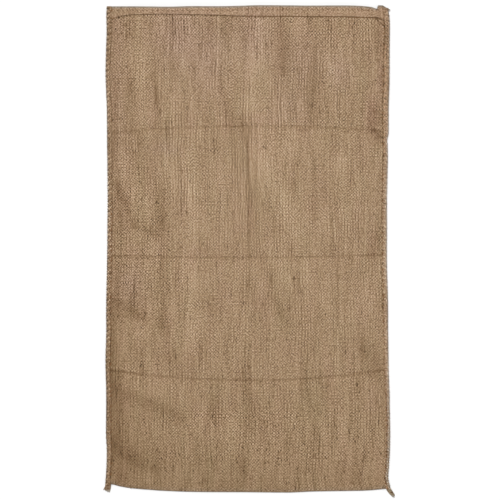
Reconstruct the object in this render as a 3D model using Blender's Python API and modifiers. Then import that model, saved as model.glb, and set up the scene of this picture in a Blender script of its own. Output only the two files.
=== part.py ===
"""A jute sack, lying flat and empty. One length of hessian is folded at the bottom, hemmed outwards round
the mouth and overcast with twine along both sides. The twine runs on into a short tail at each bottom
corner. X runs across the sack and +Y towards its mouth. It lies on Z = 0, with the middle of its back at
the origin. Sizes are in millimetres until they go into a mesh."""

from bisect import bisect_right
from collections import namedtuple
from math import ceil, cos, exp, hypot, pi, radians, sin

import bmesh
import bpy

METRES = 0.001  # in a millimetre

# Driving dimensions
SACK_WIDTH = 650.0
SACK_LENGTH = 1113.0
CLOTH = 1.4  # one layer of hessian
HEM = 3.2  # three layers, pressed
SEAM_WIDTH = 11.0
TWINE = 1.3  # what the twine adds above and below the two layers that it binds
CLEARANCE = 0.3
EDGE_IN_SEAM = 6.0  # how far the cloth's edges reach into a seam
EDGE_PLAY = 1.2  # room for the cloth's edges to drift a little inside a seam
SEAM_OVERRUN = 1.0  # how far a seam runs on past the bottom fold
STITCH_PITCH = 12.0

SIDE = SACK_WIDTH / 2
MOUTH_Y = SACK_LENGTH / 2
SEAM_SLOT = SEAM_WIDTH - EDGE_IN_SEAM - EDGE_PLAY  # from a seam's outer edge to the end of its slot
SEAM_LIFT = TWINE + CLEARANCE  # the back's underside where a seam's twine passes beneath it
CLOSED = SEAM_LIFT + CLOTH + CLEARANCE  # the front's underside there
SLOT_TOP = CLOSED + CLOTH + CLEARANCE
SEAM_HEIGHT = SLOT_TOP + TWINE
LIFT_REACH = 22.0  # the back comes down to the surface over this width beside a seam
ROOF_REACH = 150.0  # the front rises to its full height over this width beside a seam
HEM_REACH = 26.0  # the twine presses the hem together over this width beside a seam
BESIDE_SEAM = SEAM_WIDTH + 1.0  # from a side's outer edge to where the cloth is free of the seam
DRIFT_REACH = 290.0  # past this far across, the cloth follows its side's drift in full

# How far each side stands in from a straight side, by the distance down from the mouth
SideRow = namedtuple("SideRow", "down left right")
SIDES = (
    SideRow(0, 2.6, 0.4),
    SideRow(45, 2.3, -1.2),
    SideRow(120, 0.0, -0.6),
    SideRow(165, -0.9, -0.8),
    SideRow(235, 2.4, 1.4),
    SideRow(280, 2.9, 1.3),
    SideRow(350, 3.4, 3.0),
    SideRow(450, 4.1, 5.2),
    SideRow(590, 2.9, 5.4),
    SideRow(665, 1.0, 3.0),
    SideRow(745, 1.0, 2.6),
    SideRow(820, -0.8, 1.4),
    SideRow(900, 0.9, -0.9),
    SideRow(975, 0.5, -1.8),
    SideRow(1015, 2.2, -1.4),
    SideRow(1055, 1.4, 0.6),
    SideRow(1080, 0.0, 3.2),
    SideRow(1092, -0.4, 0.2),
    SideRow(1105, -0.4, -3.7),
)

# How far down the mouth's edge, the hem's edge and the bottom fold lie, by the place across
AcrossRow = namedtuple("AcrossRow", "across mouth hem bottom")
ACROSS = (
    AcrossRow(-325, 0.2, 26.5, 1094.6),
    AcrossRow(-311, 0.2, 26.3, 1095.1),
    AcrossRow(-292, 0.7, 24.0, 1099.8),
    AcrossRow(-264, 1.0, 21.3, 1104.2),
    AcrossRow(-237, 1.3, 21.0, 1106.6),
    AcrossRow(-182, 2.1, 20.6, 1110.3),
    AcrossRow(-127, 0.8, 20.4, 1112.3),
    AcrossRow(-72, 1.0, 20.6, 1112.8),
    AcrossRow(-17, 0.0, 22.6, 1112.9),
    AcrossRow(24, -1.2, 23.5, 1113.3),
    AcrossRow(90, -0.9, 24.2, 1113.8),
    AcrossRow(148, -0.5, 25.2, 1111.4),
    AcrossRow(230, -0.8, 25.6, 1110.0),
    AcrossRow(258, 0.0, 26.6, 1109.6),
    AcrossRow(284, 1.9, 26.0, 1108.2),
    AcrossRow(294, 5.2, 25.4, 1107.2),
    AcrossRow(299, -1.8, 25.0, 1106.7),
    AcrossRow(309, -2.0, 24.6, 1105.6),
    AcrossRow(317, 2.3, 24.4, 1104.8),
    AcrossRow(325, 6.0, 24.2, 1104.4),
)

# The height of the hollow's roof along the middle of the sack
RoofRow = namedtuple("RoofRow", "down height")
ROOF = (
    RoofRow(0, 8.9),
    RoofRow(60, 9.9),
    RoofRow(150, 11.4),
    RoofRow(275, 11.2),
    RoofRow(420, 11.8),
    RoofRow(572, 11.2),
    RoofRow(700, 11.4),
    RoofRow(850, 10.6),
    RoofRow(960, 10.4),
    RoofRow(1060, 8.4),
    RoofRow(1100, 4.4),
    RoofRow(1113, 3.6),
)

# The folds that packing left: each bows from a to b, bow millimetres towards the mouth at its middle.
# Depth is down into the sack, and a ridge's is negative. Reach is about half the fold's width.
FoldRow = namedtuple("FoldRow", "across_a down_a across_b down_b bow depth reach")
CROSS_FOLDS = (
    FoldRow(-325, 290, 325, 286, 13, 2.3, 10),
    FoldRow(-325, 571, 325, 569, -5, 2.3, 10),
    FoldRow(-325, 832, 325, 832, -24, 2.3, 10),
)
OTHER_FOLDS = (
    FoldRow(6, 280, 5, 640, 0, 1.3, 9),
    FoldRow(150, 105, 149, 262, 0, 1.5, 16),
    FoldRow(-280, 318, -196, 505, 16, 1.2, 16),
    FoldRow(-296, 340, -225, 480, 0, -1.1, 24),
    FoldRow(44, 581, 100, 738, -10, 1.3, 14),
    FoldRow(-307, 690, -198, 722, 4, 1.3, 15),
    FoldRow(-307, 898, -155, 938, 4, 1.4, 15),
    FoldRow(-306, 985, -208, 1054, -10, 1.2, 18),
    FoldRow(272, 282, 300, 300, 0, 1.3, 16),
    FoldRow(270, 792, 298, 836, 0, 1.3, 16),
)

# Soft rises between the folds
PuffRow = namedtuple("PuffRow", "across down wide long rise")
PUFFS = (
    PuffRow(30, 205, 50, 60, 0.8),
    PuffRow(250, 130, 50, 90, 0.7),
    PuffRow(95, 470, 60, 80, 0.9),
    PuffRow(-130, 430, 40, 140, 0.6),
    PuffRow(-125, 720, 45, 70, 0.9),
    PuffRow(-255, 765, 45, 50, 0.9),
    PuffRow(225, 930, 70, 60, 0.8),
    PuffRow(-45, 975, 50, 90, 0.7),
)

# The twine's tails, by the distance beyond the seam's end. Turn is in degrees from straight across.
TailRow = namedtuple("TailRow", "across beyond turn width height")
LEFT_TAIL = (
    TailRow(-319.9, CLEARANCE, 0, 11.0, 4.8),
    TailRow(-320.9, 7.4, -16, 12.4, 3.4),
    TailRow(-322.8, 14.6, -38, 14.0, 2.4),
)
RIGHT_TAIL = (
    TailRow(323.2, CLEARANCE, 0, 11.0, 5.6),
    TailRow(326.6, 7.0, 16, 10.8, 5.0),
    TailRow(330.2, 13.2, 26, 9.0, 4.4),
    TailRow(333.2, 18.4, 32, 6.0, 3.2),
)

# The cloth's grid. Columns go by the place across. Rows stand close together at each mark down the sack,
# and are spread evenly between the marks.
IN_SEAM_COLUMNS = (SIDE - SEAM_WIDTH + EDGE_IN_SEAM, SIDE - 8.0, SIDE - BESIDE_SEAM)
LEFT_COLUMNS = (-SIDE + 20.0, -SIDE + BESIDE_SEAM + LIFT_REACH)
MIDDLE_COLUMNS = (-265, -232, -200, -165, -125, -85, -42, -8, 6, 20, 58, 95, 128, 150, 172, 210, 250)
EAR_COLUMNS = (280, 294, 299, 308)
ROWS_AT_MOUTH = (0.0, 3.0)
ROWS_AT_HEM = (-1.0, 1.0, 9.0)
ROWS_AT_FOLD = (-15.0, -5.0, 0.0, 5.0, 15.0)
ROWS_AT_BOTTOM = (-50.0, -30.0, -18.0, -8.0)
ROWS_BETWEEN_FOLDS = 4
ROWS_IN_HEM = 1
ROWS_IN_BACK = 18
STEPS_ROUND_BOTTOM = 6

# Half of a seam's section, from its outer edge: how far in, and how far within its top or bottom face
SEAM_CORNERS = ((0.7, 0.9), (2.3, 0.0))
SEAM_LIP = (2.5, 0.6)  # how far from the seam's inner edge its top starts to round off, and how far it drops
LONG_SWELL = (0.22, 37.0)  # a seam swells and thins by this much, over this distance down
SHORT_SWELL = (0.16, 15.3)

# Half of a tail's section, from its edge: how far in, and the share of its height
TAIL_CORNERS = ((1.0, 0.0), (0.0, 0.3), (0.6, 0.75), (2.2, 1.0))

HESSIAN = (0.37, 0.245, 0.155)
SEAM_TWINE = (0.33, 0.205, 0.12)
TAIL_TWINE = (0.27, 0.215, 0.15)
ROUGHNESS = 0.95


def smooth(rows, name, at):
    """The named column's value at the given value of the first column, on a curve that never overshoots."""
    keys = [row[0] for row in rows]
    values = [getattr(row, name) for row in rows]
    i = min(max(bisect_right(keys, at) - 1, 0), len(rows) - 2)
    slopes = [(values[k + 1] - values[k]) / (keys[k + 1] - keys[k]) for k in range(len(rows) - 1)]

    def tangent(k):
        before, after = slopes[max(k - 1, 0)], slopes[min(k, len(slopes) - 1)]
        return 0.0 if before * after <= 0 else 2 * before * after / (before + after)

    step = keys[i + 1] - keys[i]
    t = min(max((at - keys[i]) / step, 0.0), 1.0)
    start = (1 + 2 * t) * (1 - t) ** 2 * values[i] + t * (1 - t) ** 2 * step * tangent(i)
    end = t * t * (3 - 2 * t) * values[i + 1] - t * t * (1 - t) * step * tangent(i + 1)
    return start + end


def ease(t):
    t = min(max(t, 0.0), 1.0)
    return t * t * (3 - 2 * t)


def inset(across):
    """How far in from its side's outer edge a place across the straight sack is."""
    return SIDE - abs(across)


def drifted(across, down):
    """Where a place across the straight sack really lies, as its sides drift in and out."""
    share = min(abs(across) / DRIFT_REACH, 1.0)
    if across < 0:
        return across + share * smooth(SIDES, "left", down)
    return across - share * smooth(SIDES, "right", down)


def fold_down(fold, across):
    """How far down a cross fold lies at this place across."""
    t = (across - fold.across_a) / (fold.across_b - fold.across_a)
    return fold.down_a + t * (fold.down_b - fold.down_a) - fold.bow * 4 * t * (1 - t)


def fold_depth(fold, across, down):
    """How deep a fold is here: a soft trough round its bowed line, with round ends."""
    along = (fold.across_b - fold.across_a, fold.down_b - fold.down_a)
    length = hypot(*along)
    away = (across - fold.across_a, down - fold.down_a)
    t = min(max((away[0] * along[0] + away[1] * along[1]) / length**2, 0.0), 1.0)
    bow = fold.bow * 4 * t * (1 - t) / length
    off_across = away[0] - t * along[0] - bow * along[1]
    off_down = away[1] - t * along[1] + bow * along[0]
    return fold.depth * exp(-((off_across**2 + off_down**2) / fold.reach**2))


def puff_rise(puff, across, down):
    off_across, off_down = (across - puff.across) / puff.wide, (down - puff.down) / puff.long
    return puff.rise * exp(-(off_across**2 + off_down**2))


def roof(across, down):
    """The height of the front's underside: low at the seams, high between the folds."""
    rise = 1 - (1 - min(max(inset(across) - BESIDE_SEAM, 0.0) / ROOF_REACH, 1.0)) ** 3
    height = smooth(ROOF, "height", down)
    height -= sum(fold_depth(fold, across, down) for fold in CROSS_FOLDS + OTHER_FOLDS)
    height += sum(puff_rise(puff, across, down) for puff in PUFFS)
    return CLOSED + max(height - CLOSED, 0.0) * rise


def lift(across):
    """The height of the back's underside: it rises a little to pass over the seam's twine."""
    return SEAM_LIFT * (1 - ease((inset(across) - BESIDE_SEAM) / LIFT_REACH))


def hem_share(across, down):
    """1 where the cloth has the hem's full thickness, and 0 where it is one layer."""
    if down > smooth(ACROSS, "hem", across):
        return 0.0
    return ease((inset(across) - BESIDE_SEAM) / HEM_REACH)


def spread(marks):
    """Distances down of rows of points. Each mark is where it lies, the rows' offsets from it, and how many
    rows are spread evenly before it."""
    downs = []
    for mark, offsets, between in marks:
        last = downs[-1] if downs else 0.0
        gap = mark + offsets[0] - last
        downs += [last + gap * k / (between + 1) for k in range(1, between + 1)]
        downs += [mark + offset for offset in offsets]
    return downs


def front_downs(across):
    marks = [(smooth(ACROSS, "mouth", across), ROWS_AT_MOUTH, 0)]
    marks.append((smooth(ACROSS, "hem", across), ROWS_AT_HEM, ROWS_IN_HEM))
    marks += [(fold_down(fold, across), ROWS_AT_FOLD, ROWS_BETWEEN_FOLDS) for fold in CROSS_FOLDS]
    marks.append((smooth(ACROSS, "bottom", across), ROWS_AT_BOTTOM, ROWS_BETWEEN_FOLDS))
    return spread(marks)


def back_downs(across):
    marks = [(smooth(ACROSS, "mouth", across), (0.0,), 0)]
    marks.append((smooth(ACROSS, "hem", across), (-1.0, 1.0), 0))
    marks.append((smooth(ACROSS, "bottom", across), ROWS_AT_BOTTOM, ROWS_IN_BACK))
    return spread(marks)


def cloth_column(across):
    """One column of the cloth's outer face: (down, height, hem share), from the back's mouth, round the
    bottom fold, to the front's mouth."""
    low = lift(across)
    column = [(down, low, hem_share(across, down)) for down in back_downs(across)]
    bottom = smooth(ACROSS, "bottom", across)
    top = roof(across, bottom) + CLOTH
    radius = (top - low) / 2
    for k in range(STEPS_ROUND_BOTTOM + 1):
        angle = pi * k / STEPS_ROUND_BOTTOM
        column.append((bottom - radius + radius * sin(angle), low + radius - radius * cos(angle), 0.0))
    for down in reversed(front_downs(across)):
        share = hem_share(across, down)
        column.append((down, roof(across, down) + CLOTH + share * (HEM - CLOTH), share))
    return column


def material(name, colour):
    made = bpy.data.materials.new(name)
    made.use_nodes = True
    surface = made.node_tree.nodes["Principled BSDF"]
    surface.inputs["Base Color"].default_value = (*colour, 1.0)
    surface.inputs["Roughness"].default_value = ROUGHNESS
    surface.inputs["Metallic"].default_value = 0.0
    return made


def finish(obj, collection, colour):
    """Names the object's mesh, shades it smooth, gives it its material and files it."""
    obj.data.name = obj.name
    obj.data.shade_smooth()
    obj.data.materials.append(material(obj.name, colour))
    for holder in list(obj.users_collection):
        holder.objects.unlink(obj)
    collection.objects.link(obj)


def make_cloth(collection):
    """The sack's cloth: a grid bent round the bottom fold, thickened inwards, and thicker at the hem."""
    in_left_seam = tuple(-across for across in IN_SEAM_COLUMNS)
    columns = sorted(in_left_seam + LEFT_COLUMNS + MIDDLE_COLUMNS + EAR_COLUMNS + IN_SEAM_COLUMNS)
    faces = [cloth_column(across) for across in columns]
    bpy.ops.mesh.primitive_grid_add(x_subdivisions=len(columns) - 1, y_subdivisions=len(faces[0]) - 1)
    obj = bpy.context.object
    obj.name = "sack_cloth"
    hem = obj.vertex_groups.new(name="hem")
    for vertex in obj.data.vertices:
        row, column = divmod(vertex.index, len(columns))
        down, height, share = faces[column][row]
        place = (drifted(columns[column], down), MOUTH_Y - down, height)
        vertex.co = [METRES * value for value in place]
        hem.add([vertex.index], share, "REPLACE")
    shell = obj.modifiers.new("cloth thickness", "SOLIDIFY")
    shell.thickness = METRES * HEM
    shell.offset = -1.0
    shell.vertex_group = "hem"
    shell.thickness_vertex_group = CLOTH / HEM
    finish(obj, collection, HESSIAN)


def loft(name, rings):
    """A closed body through rings of points that all run the same way round, with flat ends."""
    mesh = bmesh.new()
    loops = [[mesh.verts.new([METRES * value for value in point]) for point in ring] for ring in rings]
    for one, two in zip(loops, loops[1:]):
        for k in range(len(one)):
            after = (k + 1) % len(one)
            mesh.faces.new((one[k], one[after], two[after], two[k]))
    mesh.faces.new(reversed(loops[0]))
    mesh.faces.new(loops[-1])
    bmesh.ops.recalc_face_normals(mesh, faces=mesh.faces)
    data = bpy.data.meshes.new(name)
    mesh.to_mesh(data)
    mesh.free()
    obj = bpy.data.objects.new(name, data)
    bpy.context.scene.collection.objects.link(obj)
    return obj


def seam_section(swell):
    """A seam's section, as (in from its outer edge, height): a roll of twine with a slot for the cloth."""
    top = SEAM_HEIGHT + swell
    lip_start, lip_drop = SEAM_LIP
    below = [(depth, within) for depth, within in reversed(SEAM_CORNERS)]
    above = [(depth, top - within) for depth, within in SEAM_CORNERS]
    lip = [(SEAM_WIDTH - lip_start, top), (SEAM_WIDTH, top - lip_drop)]
    slot = [(SEAM_WIDTH, SLOT_TOP), (SEAM_SLOT, SLOT_TOP), (SEAM_SLOT, TWINE), (SEAM_WIDTH, TWINE)]
    return [(SEAM_WIDTH, 0.0)] + below + [(-swell, SEAM_HEIGHT / 2)] + above + lip + slot


def seam_ends(side):
    """How far down a side's seam starts and stops. Side is -1 for the left and 1 for the right."""
    edge = side * (SIDE - SEAM_WIDTH + EDGE_IN_SEAM)
    return smooth(ACROSS, "mouth", edge), smooth(ACROSS, "bottom", edge) + SEAM_OVERRUN


def swell_at(down):
    """How much fuller or thinner than its plain size a seam is here, as hand-guided overcasting leaves it."""
    return sum(size * sin(down / reach) for size, reach in (LONG_SWELL, SHORT_SWELL))


def make_seam(name, side, collection):
    """An overcast seam, with a ring of points at each stitch."""
    first, last = seam_ends(side)
    stitches = ceil((last - first) / STITCH_PITCH)
    rings = []
    for k in range(stitches + 1):
        down = first + (last - first) * k / stitches
        rings.append(
            [
                (drifted(side * (SIDE - depth), down), MOUTH_Y - down, height)
                for depth, height in seam_section(swell_at(down))
            ]
        )
    finish(loft(name, rings), collection, SEAM_TWINE)


def tail_section(width, height):
    """A tail's section, as (across, height): flat below and rounded above."""
    right = [(width / 2 - inwards, share * height) for inwards, share in TAIL_CORNERS]
    return right + [(-off, up) for off, up in reversed(right)]


def make_tail(name, side, rows, collection):
    """The twine that runs on past a seam's lower end."""
    end = seam_ends(side)[1]
    rings = []
    for row in rows:
        turn, along = radians(row.turn), MOUTH_Y - end - row.beyond
        rings.append(
            [
                (row.across + off * cos(turn), along + off * sin(turn), height)
                for off, height in tail_section(row.width, row.height)
            ]
        )
    finish(loft(name, rings), collection, TAIL_TWINE)


def main():
    for obj in list(bpy.data.objects):
        bpy.data.objects.remove(obj)
    sack = bpy.data.collections.new("jute sack")
    bpy.context.scene.collection.children.link(sack)
    make_cloth(sack)
    make_seam("side_seam_left", -1, sack)
    make_seam("side_seam_right", 1, sack)
    make_tail("seam_tail_left", -1, LEFT_TAIL, sack)
    make_tail("seam_tail_right", 1, RIGHT_TAIL, sack)


main()
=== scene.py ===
from bisect import bisect_right
from collections import namedtuple
from math import ceil, cos, exp, hypot, pi, radians, sin
from random import Random

import bpy
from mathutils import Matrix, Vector, noise


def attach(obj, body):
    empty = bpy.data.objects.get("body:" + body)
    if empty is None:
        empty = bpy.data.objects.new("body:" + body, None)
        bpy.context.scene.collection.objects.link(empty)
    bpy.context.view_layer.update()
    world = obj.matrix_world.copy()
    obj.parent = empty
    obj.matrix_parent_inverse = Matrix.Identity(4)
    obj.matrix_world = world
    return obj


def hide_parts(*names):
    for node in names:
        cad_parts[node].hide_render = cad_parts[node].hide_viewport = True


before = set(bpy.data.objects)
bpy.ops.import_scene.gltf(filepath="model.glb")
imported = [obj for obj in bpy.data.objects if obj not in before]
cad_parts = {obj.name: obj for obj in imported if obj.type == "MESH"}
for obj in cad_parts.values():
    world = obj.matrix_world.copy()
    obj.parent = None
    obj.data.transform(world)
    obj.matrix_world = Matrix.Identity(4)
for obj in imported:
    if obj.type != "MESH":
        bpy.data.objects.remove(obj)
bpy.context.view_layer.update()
bpy.context.scene.view_settings.view_transform = "Standard"
mm = 0.001  # every size below is in millimetres until it goes into a mesh

# the sack's own shape: the same sizes, tables and folds that its solids have
sack = {
    "width": 650.0,
    "length": 1113.0,
    "cloth": 1.4,  # one layer of hessian
    "hemPly": 1.03,  # one of the hem's three layers, pressed
    "seamPly": 0.45,  # the same where the seam's twine crushes it
    "plyGap": 0.04,
    "seamWidth": 11.0,
    "edgeInSeam": 6.0,
    "seamLift": 1.6,  # the back's underside where the twine passes beneath it
    "closed": 3.3,  # the front's underside there
    "liftReach": 22.0,
    "roofReach": 150.0,
    "hemReach": 26.0,
    "driftReach": 290.0,
    "stitchPitch": 12.0,
}
side = sack["width"] / 2
mouthY = sack["length"] / 2
besideSeam = sack["seamWidth"] + 1.0


def rowsOf(fields, *rows, defaults=()):
    kind = namedtuple("row", fields, defaults=defaults)
    return tuple(kind(*row) for row in rows)


# how far each side stands in from a straight one, by the distance down from the mouth
sides = rowsOf(
    "down left right",
    (0, 2.6, 0.4), (45, 2.3, -1.2), (120, 0, -0.6), (165, -0.9, -0.8), (235, 2.4, 1.4), (280, 2.9, 1.3),
    (350, 3.4, 3), (450, 4.1, 5.2), (590, 2.9, 5.4), (665, 1, 3), (745, 1, 2.6), (820, -0.8, 1.4),
    (900, 0.9, -0.9), (975, 0.5, -1.8), (1015, 2.2, -1.4), (1055, 1.4, 0.6), (1080, 0, 3.2),
    (1092, -0.4, 0.2), (1105, -0.4, -3.7),
)
# how far down the mouth, the hem's edge and the bottom fold lie, by the place across
acrossRows = rowsOf(
    "across mouth hem bottom",
    (-325, 0.2, 26.5, 1094.6), (-311, 0.2, 26.3, 1095.1), (-292, 0.7, 22.8, 1099.8), (-264, 1, 19.8, 1104.2),
    (-237, 1.3, 19.4, 1106.6), (-182, 2.1, 19, 1110.3), (-127, 0.8, 19.9, 1112.3), (-72, 1, 21, 1112.8),
    (-17, 0, 23.1, 1112.9), (24, -1.2, 23.5, 1113.3), (90, -0.9, 23.5, 1113.8), (148, -0.5, 24.2, 1111.4),
    (230, -0.8, 24.6, 1110), (258, 0, 25.6, 1109.6), (284, 2.4, 26, 1108.2), (297, 6, 25.6, 1106.9),
    (299.2, -1.8, 26.2, 1106.7), (309, -2, 31.4, 1105.6), (317, 2.3, 34.4, 1104.8), (325, 6, 34.6, 1104.4),
)
# the height of the hollow's roof along the middle
roofRows = rowsOf(
    "down height",
    (0, 8.9), (60, 9.9), (150, 11.4), (275, 11.2), (420, 11.8), (572, 11.2), (700, 11.4), (850, 10.6),
    (960, 10.4), (1060, 8.4), (1100, 4.4), (1113, 3.6),
)
# folds: each bows from a to b, bow towards the mouth at its middle; a ridge's depth is negative
foldFields = "acrossA downA acrossB downB bow depth reach"
crossFolds = rowsOf(
    foldFields,
    (-325, 290, 325, 286, 13, 2.3, 10), (-325, 571, 325, 569, -5, 2.3, 10),
    (-325, 832, 325, 832, -24, 2.3, 10),
)
otherFolds = rowsOf(
    foldFields,
    (6, 280, 5, 640, 0, 1.3, 9), (150, 105, 149, 262, 0, 1.5, 16), (-280, 318, -196, 505, 16, 1.2, 16),
    (-296, 340, -225, 480, 0, -1.1, 24), (44, 581, 100, 738, -10, 1.3, 14),
    (-307, 690, -198, 722, 4, 1.3, 15), (-307, 898, -155, 938, 4, 1.4, 15),
    (-306, 985, -208, 1054, -10, 1.2, 18), (272, 282, 300, 300, 0, 1.3, 16), (270, 792, 298, 836, 0, 1.3, 16),
)
# soft rises between the folds
puffs = rowsOf(
    "across down wide long rise",
    (30, 205, 50, 60, 0.8), (250, 130, 50, 90, 0.7), (95, 470, 60, 80, 0.9), (-130, 430, 40, 140, 0.6),
    (-125, 720, 45, 70, 0.9), (-255, 765, 45, 50, 0.9), (225, 930, 70, 60, 0.8), (-45, 975, 50, 90, 0.7),
)
# sharp lines that only the cloth itself shows: the packing folds' bottoms, small creases, the ear's pleats
creases = rowsOf(
    foldFields,
    (-313, 289.5, 313, 286, 13, 0.35, 2.6), (-313, 571, 313, 569, -5, 0.45, 2.6),
    (-313, 832, 313, 832, -24, 0.5, 2.6), (-12, 272, -1, 318, 0, 0.5, 2.6), (5, 283, -1, 318, 0, 0.3, 2.6),
    (-1, 318, 3, 400, 0, 0.7, 2.6), (3, 400, 4, 575, 0, 0.6, 2.6), (4, 575, 1, 640, 0, 0.3, 2.6),
    (44, 583, 76, 705, -3, 0.2, 4), (76, 705, 128, 741, -4, 0.2, 5), (120, 642, 212, 656, 2, 0.3, 4),
    (235, 26, 243, 48, 0, 0.5, 4), (292, 27.8, 302, 36, 0, 0.6, 2), (302, 36, 313, 45, 0, 0.9, 2),
    (299, 31.5, 313, 41, 0, -0.8, 2.6), (-313, 66, -250, 74, 2, 0.3, 4), (-307, 402, -262, 505, 4, 0.4, 7),
    (-262, 505, -208, 527, 4, 0.4, 7), (82, 31, 83, 154, 0, 0.35, 8), (-196, 589, -196, 737, 0, 0.45, 9),
    (-6, 846, -4, 905, 0, 0.2, 9),
)


def smooth(rows, name, at):
    keys = [row[0] for row in rows]
    values = [getattr(row, name) for row in rows]
    i = min(max(bisect_right(keys, at) - 1, 0), len(rows) - 2)
    slopes = [(values[k + 1] - values[k]) / (keys[k + 1] - keys[k]) for k in range(len(rows) - 1)]

    def tangent(k):
        before, after = slopes[max(k - 1, 0)], slopes[min(k, len(slopes) - 1)]
        return 0.0 if before * after <= 0 else 2 * before * after / (before + after)

    step = keys[i + 1] - keys[i]
    t = min(max((at - keys[i]) / step, 0.0), 1.0)
    start = (1 + 2 * t) * (1 - t) ** 2 * values[i] + t * (1 - t) ** 2 * step * tangent(i)
    end = t * t * (3 - 2 * t) * values[i + 1] - t * t * (1 - t) * step * tangent(i + 1)
    return start + end


def ease(t):
    t = min(max(t, 0.0), 1.0)
    return t * t * (3 - 2 * t)


def hump(off, reach):
    return exp(-((off / reach) ** 2))


def ripple(x, y, z):
    return noise.noise(Vector((x, y, z)))


def oval(row, across, down, lean=0.0, limit=6.0):
    # how much of a soft oval mark reaches here: 1 at its middle
    offDown = down - row.down
    away = ((across - row.across - lean * offDown) / row.wide) ** 2 + (offDown / row.long) ** 2
    return exp(-away) if away < limit else 0.0


def inset(across):
    return side - abs(across)  # how far in from its side's outer edge


def sideDrift(across, down):
    share = min(abs(across) / sack["driftReach"], 1.0)
    return share * smooth(sides, "left", down) if across < 0 else -share * smooth(sides, "right", down)


def place(across, down, height):
    return mm * across, mm * (mouthY - down), mm * height


def drifted(across, down, height):
    return place(across + sideDrift(across, down), down, height)


def foldDown(fold, across):
    t = (across - fold.acrossA) / (fold.acrossB - fold.acrossA)
    return fold.downA + t * (fold.downB - fold.downA) - fold.bow * 4 * t * (1 - t)


def foldDepth(fold, across, down):
    along = (fold.acrossB - fold.acrossA, fold.downB - fold.downA)
    length = hypot(*along)
    away = (across - fold.acrossA, down - fold.downA)
    t = min(max((away[0] * along[0] + away[1] * along[1]) / length**2, 0.0), 1.0)
    bow = fold.bow * 4 * t * (1 - t) / length
    offAcross = away[0] - t * along[0] - bow * along[1]
    offDown = away[1] - t * along[1] + bow * along[0]
    distance = (offAcross**2 + offDown**2) / fold.reach**2
    return fold.depth * exp(-distance) if distance < 9 else 0.0


def depthOf(folds, across, down):
    return sum(foldDepth(fold, across, down) for fold in folds)


def roof(across, down):
    rise = 1 - (1 - min(max(inset(across) - besideSeam, 0.0) / sack["roofReach"], 1.0)) ** 3
    height = smooth(roofRows, "height", down) - depthOf(crossFolds + otherFolds, across, down)
    height += sum(puff.rise * oval(puff, across, down, limit=99.0) for puff in puffs)
    return sack["closed"] + max(height - sack["closed"], 0.0) * rise


def lift(across):
    return sack["seamLift"] * (1 - ease((inset(across) - besideSeam) / sack["liftReach"]))


wrinkles = {  # how uneven the cloth is between its folds: rise, and its size across and down
    "sizes": ((0.55, 85.0, 150.0), (0.30, 24.0, 90.0), (0.14, 13.0, 17.0)),
    "apart": 7.3,
    "calmBy": 34.0,  # it dies away over this width beside a seam
}


def uneven(across, down):
    # the wrinkles and sharp creases on the front
    total = 0.0
    for number, (rise, wide, long) in enumerate(wrinkles["sizes"]):
        total += rise * ripple(across / wide, down / long, wrinkles["apart"] * number)
    return ease((inset(across) - besideSeam) / wrinkles["calmBy"]) * total


print("shape tables ready")

# the cloth: one thin sheet, from the front hem's tucked edge round the bottom to the back hem's
cloth = {
    "flatWidth": 0.65,  # metres
    "flatLength": 2.28,
    "columnBands": (  # the first, the step and how many
        (-319, 2.0, 6), (-307, 4.0, 7), (-279, 6.5, 41), (-14, 2.2, 13),
        (16, 6.5, 41), (279, 2.25, 9), (299.2, 2.25, 9), (319, 1.0, 1),
    ),
    "hemRows": (1.6, 4.0, 7.0, 9.6, 12.2, 15.0, 17.2),  # down from the mouth, as if the hem were 20 deep
    "underHem": (5.0, 14.0),
    "besideHem": (0.3, 0.9, 1.7, 3.0, 4.6, 6.4, 8.4, 10.6, 13.0, 15.5, 18.5, 22.5),  # below the hem's edge
    "besideFold": (-14.0, -8.5, -4.5, -1.8, 0.0, 1.8, 4.5, 8.5, 14.0),
    "betweenFolds": 42,
    "foldSteps": 6,
    "bottomSteps": 10,
    "backRows": 48,
}
clothPoint = namedtuple("clothPoint", "down height thick zone")


def hemPly(across):
    share = ease((inset(across) - besideSeam) / sack["hemReach"])
    return sack["seamPly"] + share * (sack["hemPly"] - sack["seamPly"])


def hemLayers(across, away):
    # the hem from its tucked raw edge, round its own edge, up to the mouth and over; away is -1 at the back
    ply = hemPly(across)
    turn = ply + sack["plyGap"]  # half the way from the body to the hem's outer layer

    def seat(down):
        return roof(across, down) + ply / 2 if away > 0 else lift(across) + ply * 2.5 + sack["plyGap"] * 2

    edge = smooth(acrossRows, "hem", across)
    top = smooth(acrossRows, "mouth", across) + turn + ply / 2
    low = edge - turn / 2 - ply / 2
    steps = cloth["foldSteps"]
    layers = [(down, seat(down) + away * turn, "tuck") for down in (top + 3.5, low - 2.0)]
    for k in range(steps):
        angle = pi * k / (steps - 1)
        height = seat(low) + away * (1.5 * turn - turn / 2 * cos(angle))
        layers.append((low + turn / 2 * sin(angle), height, "edge"))
    deep = (low - top) / (cloth["hemRows"][-1] + 0.5)
    for row in reversed(cloth["hemRows"]):
        layers.append((top + deep * row, seat(top + deep * row) + away * 2 * turn, "hem"))
    for k in range(steps + 1):
        angle = pi * k / steps
        layers.append((top - turn * sin(angle), seat(top) + away * (turn + turn * cos(angle)), "rim"))
    layers += [(top + deep * row, seat(top + deep * row), "under") for row in cloth["underHem"]]
    return [clothPoint(down, height, ply, zone) for down, height, zone in layers]


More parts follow.
